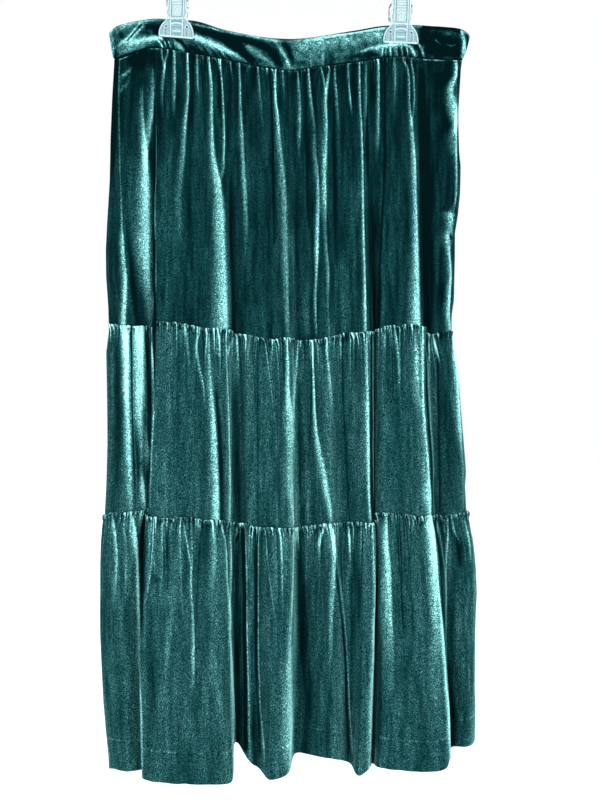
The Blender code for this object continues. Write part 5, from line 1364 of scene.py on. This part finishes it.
def make_tier(node, plan, top, bottom, columns, side, seed, strokes, material):
    """One tier's front or back. The cloth is gathered into the seam above it."""
    top, bottom, arc = even_columns(top, bottom, columns)
    parts = row_parts(whole_spans(plan.rows))
    stitched = 1 - HEM_TURN / (bottom[:, 2] - top[:, 2]).mean()
    top[:, 2] += SEAM_GAP / 2
    if plan.hem:
        parts = add_hem_rows(parts, stitched)
    else:
        bottom[:, 2] -= SEAM_GAP / 2
    grid = top + (bottom - top) * parts[:, None, None]
    grid[..., 0] *= (1 + plan.flare * np.sin(math.pi * parts ** FLARE_POWER))[:, None]
    shift_outline(grid)
    normals = level_normals(grid)
    x, drop = grid[..., 0].copy(), grid[..., 2].copy()
    arcs = np.broadcast_to(arc, x.shape)
    below = drop - top[:, 2]
    above = bottom[:, 2] - drop
    from_stitches = np.broadcast_to(((parts - stitched) / HEM_STEP)[:, None], x.shape)
    gathered = ease((x - plan.gathered[0]) / SIDE_FADE) * ease((plan.gathered[1] - x) / SIDE_FADE)

    made = [gathers(arcs, below, seed + k, size) for k, size in enumerate(plan.gathers)]
    puffs = plan.frill * gathered * made[0][2]
    roll = puffs * along_edge(below, ROLL)
    pushed, painted_stroke_light = paint_strokes_down(x, drop, strokes)

    relief = gathered * sum(row[0] for row in made) + waves(below, arcs, seed, TIER_WAVES) + pushed
    relief += along_edge(below, SEWN_TOP) + puffs * along_edge(below, FRILL)
    relief += along_edge(from_stitches, HEM_GROOVE) if plan.hem else along_edge(above, SEWN_FOOT)
    relief *= ease(np.minimum(arcs, arc[-1] - arcs) / SIDE_FADE)
    grid[..., :2] += normals * relief[..., None]
    grid[..., 2] -= ROLL_DROP * roll

    # Random tone of the cloth, plus painted highlights and shade of gathers and strokes and the roll's
    # highlight.
    nap = gathered * sum(row[1] for row in made) + waves(below, arcs, seed, TIER_TONES) + ROLL_LIGHT * roll
    nap += painted_stroke_light * (1 + TOP_SHINE * (1 - ease(below / TOP_SHINE_DROP)))
    nap -= plan.shadow * (1 - ease(below / SHADOW_DROP))
    nap += (1 - gathered) * np.clip(patchy(arcs, seed, LOOSE), 0, 1) * along_edge(below, LOOSE_LIGHT)
    thickness = np.full(len(parts), CLOTH)
    if plan.hem:
        nap += np.clip(patchy(arcs, seed, STITCHES), 0, 1) * along_edge(from_stitches, HEM_LIGHT)
        nap += along_edge(from_stitches, HEM_SHADE)
        thickness += (HEM_CLOTH - CLOTH) * ease((HEM_TURN - above.mean(axis=1)) / HEM_RISE)
    # How strongly the painted pleat highlights and shade show, fading down from the seam.
    reach = plan.gathers[0].reach * patchy(arcs, seed, PLEAT_REACH)
    pleat = plan.pleat * gathered * np.exp(-((below / reach) ** PLEAT_POWER))
    return shell(node, "velvet", grid, side, thickness, nap, pleat, material)


def make_band(node, profile, waist, columns, side, seed, strokes, material):
    """The waistband's front or back, with a rolled upper edge, pressed and creased by the clips."""
    x_low = np.interp(np.linspace(0.0, 1.0, columns), np.linspace(0.0, 1.0, len(waist)), waist[:, 0])
    x_top, depth, top, low = band_at(profile, x_low)
    upper = np.column_stack([x_top, side * depth, top])
    lower = np.column_stack([x_low, side * depth, low - SEAM_GAP])
    parts = np.linspace(0.0, 1.0, BAND_ROWS)
    grid = upper + (lower - upper) * parts[:, None, None]
    shift_outline(grid)
    normals = level_normals(grid)
    x = grid[..., 0].copy()
    down = grid[..., 2] - top
    up = low - SEAM_GAP - grid[..., 2]
    # Relief, and painted highlights and shade, of the waistband's strokes.
    relief, nap = paint_strokes_any_way(x, grid[..., 2], strokes)
    relief += BAND_CROWN * np.sin(math.pi * parts)[:, None] + waves(down, x, seed, BAND_WAVES)
    relief += along_edge(down, BAND_TOP_ROLL) + along_edge(up, BAND_FOOT_ROLL)
    relief *= ease(np.minimum(x - x.min(), x.max() - x) / BAND_SIDE_FADE)
    grid[..., :2] += normals * relief[..., None]
    # Random tone, then a painted highlight along the top and painted shade along the foot.
    nap += waves(down, x, seed, BAND_TONES)
    nap += along_edge(down, BAND_TOP_LIGHT) + along_edge(up, BAND_FOOT_SHADE)
    return shell(node, "band_velvet", grid, side, np.full(BAND_ROWS, BAND_CLOTH), nap, 0 * nap, material)


# ---------------------------------------------------------------- skirt
BAND_COLUMNS = 600

# columns and rows are the front's; gathered is where along x the top is gathered into its seam.
Plan = namedtuple("Plan", "name above flat columns rows gathered gathers frill pleat shadow velvet flare hem")

ALL_ACROSS = (-260, 260)
LOWER_GATHERS = (Gather(4.7, 2.2, 11.0, 1.15), Gather(11.0, 2.0, 36.0, 0.5))
PLANS = (
    Plan("upper_tier", "waistband", (0.52, 0.33), columns=800, rows=96, gathered=(-152, 156),
         gathers=(Gather(5.2, 1.6, 7.0, 0.8), Gather(11.0, 1.0, 26.0, 0.15)),
         frill=1.1, pleat=0.5, shadow=0.075, velvet="upper", flare=0.0, hem=False),
    Plan("middle_tier", "upper_tier", (0.58, 0.22), columns=930, rows=75, gathered=ALL_ACROSS,
         gathers=(*LOWER_GATHERS, Gather(26.0, 1.8, 80.0, 0.1)),
         frill=2.0, pleat=0.65, shadow=0.0, velvet="lower", flare=0.0, hem=False),
    Plan("lower_tier", "middle_tier", (0.62, 0.33), columns=870, rows=96, gathered=ALL_ACROSS,
         gathers=(*LOWER_GATHERS, Gather(26.0, 1.8, 100.0, 0.1)),
         frill=2.0, pleat=0.65, shadow=0.0, velvet="lower", flare=0.03, hem=True),
)

FRONT_STROKES = (UPPER_STROKES, MIDDLE_STROKES, LOWER_STROKES)

# The front and the back, which has a share of the front's columns.
Half = namedtuple("Half", "name side band share seed")
HALVES = (Half("front", FRONT, FRONT_BAND, 1.0, 10), Half("back", BACK, BACK_BAND, 0.64, 60))

SEAM_WAVES = (1.0, 1.0, 0.5)                # how much the upper seam, the lower seam and the hem waver
SEAM_RIPPLES = ((1.0, 13.0, 70), (0.6, 6.0, 80))    # strength, length and seed


def waver(curves):
    """Makes the seams and the hem slightly uneven."""
    for level, strength in enumerate(SEAM_WAVES, 1):
        x = curves[level][:, 0]
        ripple = sum(share * noise_along(x / length, seed + level) for share, length, seed in SEAM_RIPPLES)
        curves[level][:, 2] += strength * ripple


def make_skirt():
    velvets = {name: make_velvet("velvet_" + name, tone) for name, tone in TONES.items()}
    for half in HALVES:
        front = half.side == FRONT
        profile = band_profile(half.band)
        curves = tier_curves(FRONT_FOLDS if front else back_folds(), half.side, profile)
        waver(curves)
        strokes = (BAND_STROKES if front else BACK_BAND_STROKES).values()
        columns = whole_spans(BAND_COLUMNS * half.share)
        band = make_band("waistband_" + half.name, profile, curves[0], columns, half.side, half.seed, strokes,
                         velvets["band"])
        for k, plan in enumerate(PLANS):
            top, bottom = curves[k:k + 2]
            strokes = FRONT_STROKES[k].values() if front else back_strokes(k, top, bottom)
            columns = whole_spans(plan.columns * half.share)
            tier = make_tier(plan.name + "_" + half.name, plan, top, bottom, columns, half.side,
                             half.seed + 10 * (k + 1), strokes, velvets[plan.velvet])


# ---------------------------------------------------------------- hanger
# Section of a jaw's rim, and half of a ridge's top, across and outwards.
RIM = ((0.0, JAW_INNER), (0.0, 6.4), (0.3, JAW_OUTER), (0.9, JAW_OUTER), (1.2, 6.4), (1.2, JAW_FLOOR - 0.3))
# Painted highlight of the rim; COLLAR_SHINE is the collars'.
RIM_SHINE = 1.0
RIDGE_FOOT = 4.5            # inside the floor of the hollows
RIDGE_CHAMFER = 0.4
RIDGE_TOP_SHARE = 0.6
COLLAR = ((0.0, RIDGE_FOOT), (0.0, 5.6), (0.7, 5.6), (0.7, RIDGE_FOOT))
COLLAR_SHINE = 0.7
HOLE_SIDES = 12
OUTLINE_STEPS = 3
RIDGE_STEPS = 4
SHARPEST_CORNER = 0.7       # cosine of half its turn, past which a swept section is no longer widened
LEVER_FROM = 18.0           # the lever begins at this height, and its painted highlight grows over LEVER_RISE
LEVER_RISE = 8.0
LEVER_SHINE = 0.35
LEAN_HEIGHT = 20.0          # a jaw's parts above this don't lean

Clip = namedtuple("Clip", "name x lean")
CLIPS = (Clip("clip_left", -CLIP_X, 0.06), Clip("clip_right", CLIP_X, 0.02))
SHADED_SPRING = "clip_right_spring_left"


def bead(path, profile, closed=False):
    """Points and faces of a solid swept along a path in a jaw's plane. The profile goes round its section, in
    places across the path and outwards from the plane of the side seams."""
    rows = np.asarray(path, dtype=float)
    count = len(rows)
    ahead = np.roll(rows, -1, axis=0) - rows
    behind = np.roll(ahead, 1, axis=0)
    if not closed:
        ahead[-1] = behind[-1]
        behind[0] = ahead[0]
    ahead /= np.linalg.norm(ahead, axis=1)[:, None]
    behind /= np.linalg.norm(behind, axis=1)[:, None]
    along = ahead + behind
    along /= np.linalg.norm(along, axis=1)[:, None]
    widen = 1 / np.maximum((along * ahead).sum(axis=1), SHARPEST_CORNER)
    across = np.column_stack([-along[:, 1], along[:, 0]]) * widen[:, None]
    points = [(x + a * u, y, h + a * v) for (x, h), (u, v) in zip(rows, across) for a, y in profile]
    size = len(profile)
    faces = []
    for i in range(count if closed else count - 1):
        near, far = i * size, (i + 1) % count * size
        faces += [(near + j, near + (j + 1) % size, far + (j + 1) % size, far + j) for j in range(size)]
    if not closed:
        faces += [tuple(range(size)), tuple(range((count - 1) * size, count * size))]
    return points, faces


def plate(loops, near, far):
    """Points and faces of a plate with an outline and holes, between two distances from the seams' plane."""
    triangles = tessellate_polygon([[Vector((x, h, 0.0)) for x, h in loop] for loop in loops])
    flat = [p for loop in loops for p in loop]
    count = len(flat)
    points = [(x, near, h) for x, h in flat] + [(x, far, h) for x, h in flat]
    faces = [tuple(t) for t in triangles] + [tuple(k + count for k in t) for t in triangles]
    start = 0
    for loop in loops:
        ring = [start + k for k in range(len(loop))]
        faces += [(a, b, b + count, a + count) for a, b in zip(ring, ring[1:] + ring[:1])]
        start += len(loop)
    return points, faces


def mirrored(points):
    return [(-x, h) for x, h in reversed(points)]


def ring_of(centre, radius):
    angles = np.arange(HOLE_SIDES) * 2 * math.pi / HOLE_SIDES
    return [(centre[0] + radius * math.cos(a), centre[1] + radius * math.sin(a)) for a in angles]


def jaw_parts():
    """Everything that makes up a jaw, as (points, faces, shine)."""
    half = through(JAW_OUTLINE[1:-1], OUTLINE_STEPS).tolist()
    outline = mirrored(half) + half
    holes = [ring_of(place, PIN_RADIUS) for place in PIN_HOLES]
    parts = [(*plate([outline, *holes], JAW_INNER, JAW_FLOOR), 0.0)]
    parts.append((*bead(outline, RIM, closed=True), RIM_SHINE))
    ridges = list(MIDDLE_RIDGES)
    for ridge in SIDE_RIDGES:
        ridges += [ridge, ridge._replace(path=mirrored(ridge.path))]
    for ridge in (*ridges, *GRIPS):
        w, top = ridge.half_width, ridge.top
        right = ((RIDGE_TOP_SHARE * w, top), (w, top - RIDGE_CHAMFER), (w, RIDGE_FOOT))
        parts.append((*bead(through(ridge.path, RIDGE_STEPS), (*mirrored(right), *right)), ridge.shine))
    for place in PIN_HOLES:
        parts.append((*bead(ring_of(place, PIN_RADIUS + COLLAR[-1][0]), COLLAR, closed=True), COLLAR_SHINE))
    return parts


def make_jaw(node, clip, side, material):
    """A jaw with its lever, rims and ribs. Its lower edge slopes by lean, less and less up to the lever."""
    points, faces, shines = [], [], []
    for part_points, part_faces, shine in jaw_parts():
        start = len(points)
        points += [(x, side * y, h - clip.lean * x * (1 - ease(h / LEAN_HEIGHT))) for x, y, h in part_points]
        faces += [tuple(start + k for k in face) for face in part_faces]
        # Painted highlight and shade of each part, growing up the lever.
        shines += [shine + LEVER_SHINE * ease((h - LEVER_FROM) / LEVER_RISE) for _, _, h in part_points]
    jaw = add_piece("visual_" + node, node, "clear_plastic", points, faces, material, shine=shines)
    place = Matrix.Translation((clip.x, 0.0, CLIP_LOW_Z))
    jaw.data.transform(Matrix.Rotation(TILT, 4, "Y") @ Matrix.Scale(MM, 4) @ place)


def make_hanger():
    """The clips' jaws, and finishes for the bar, the hook and the springs, whose CAD shapes stay."""
    plastic = make_clear_plastic()
    for clip in CLIPS:
        make_jaw(clip.name + "_jaw_front", clip, FRONT, plastic)
        make_jaw(clip.name + "_jaw_back", clip, BACK, plastic)
    steel = make_metal("spring_steel", (0.50, 0.51, 0.52), 0.25, 0.45)
    finishes = {name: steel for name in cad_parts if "spring" in name}
    # A darker copy of the steel: painted shade on the spring that is turned edge-on.
    finishes[SHADED_SPRING] = make_metal("shaded_spring_steel", (0.26, 0.28, 0.29), 0.25, 0.45)
    finishes["hanger_bar"] = make_bar_plastic()
    finishes["hanger_hook"] = make_metal("hook_chrome", (0.78, 0.79, 0.81), 0.08, 0.2)
    for name, material in finishes.items():
        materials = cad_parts[name].data.materials
        materials.clear()
        materials.append(material)


make_camera()
make_lights()
make_floor()
make_skirt()
make_hanger()
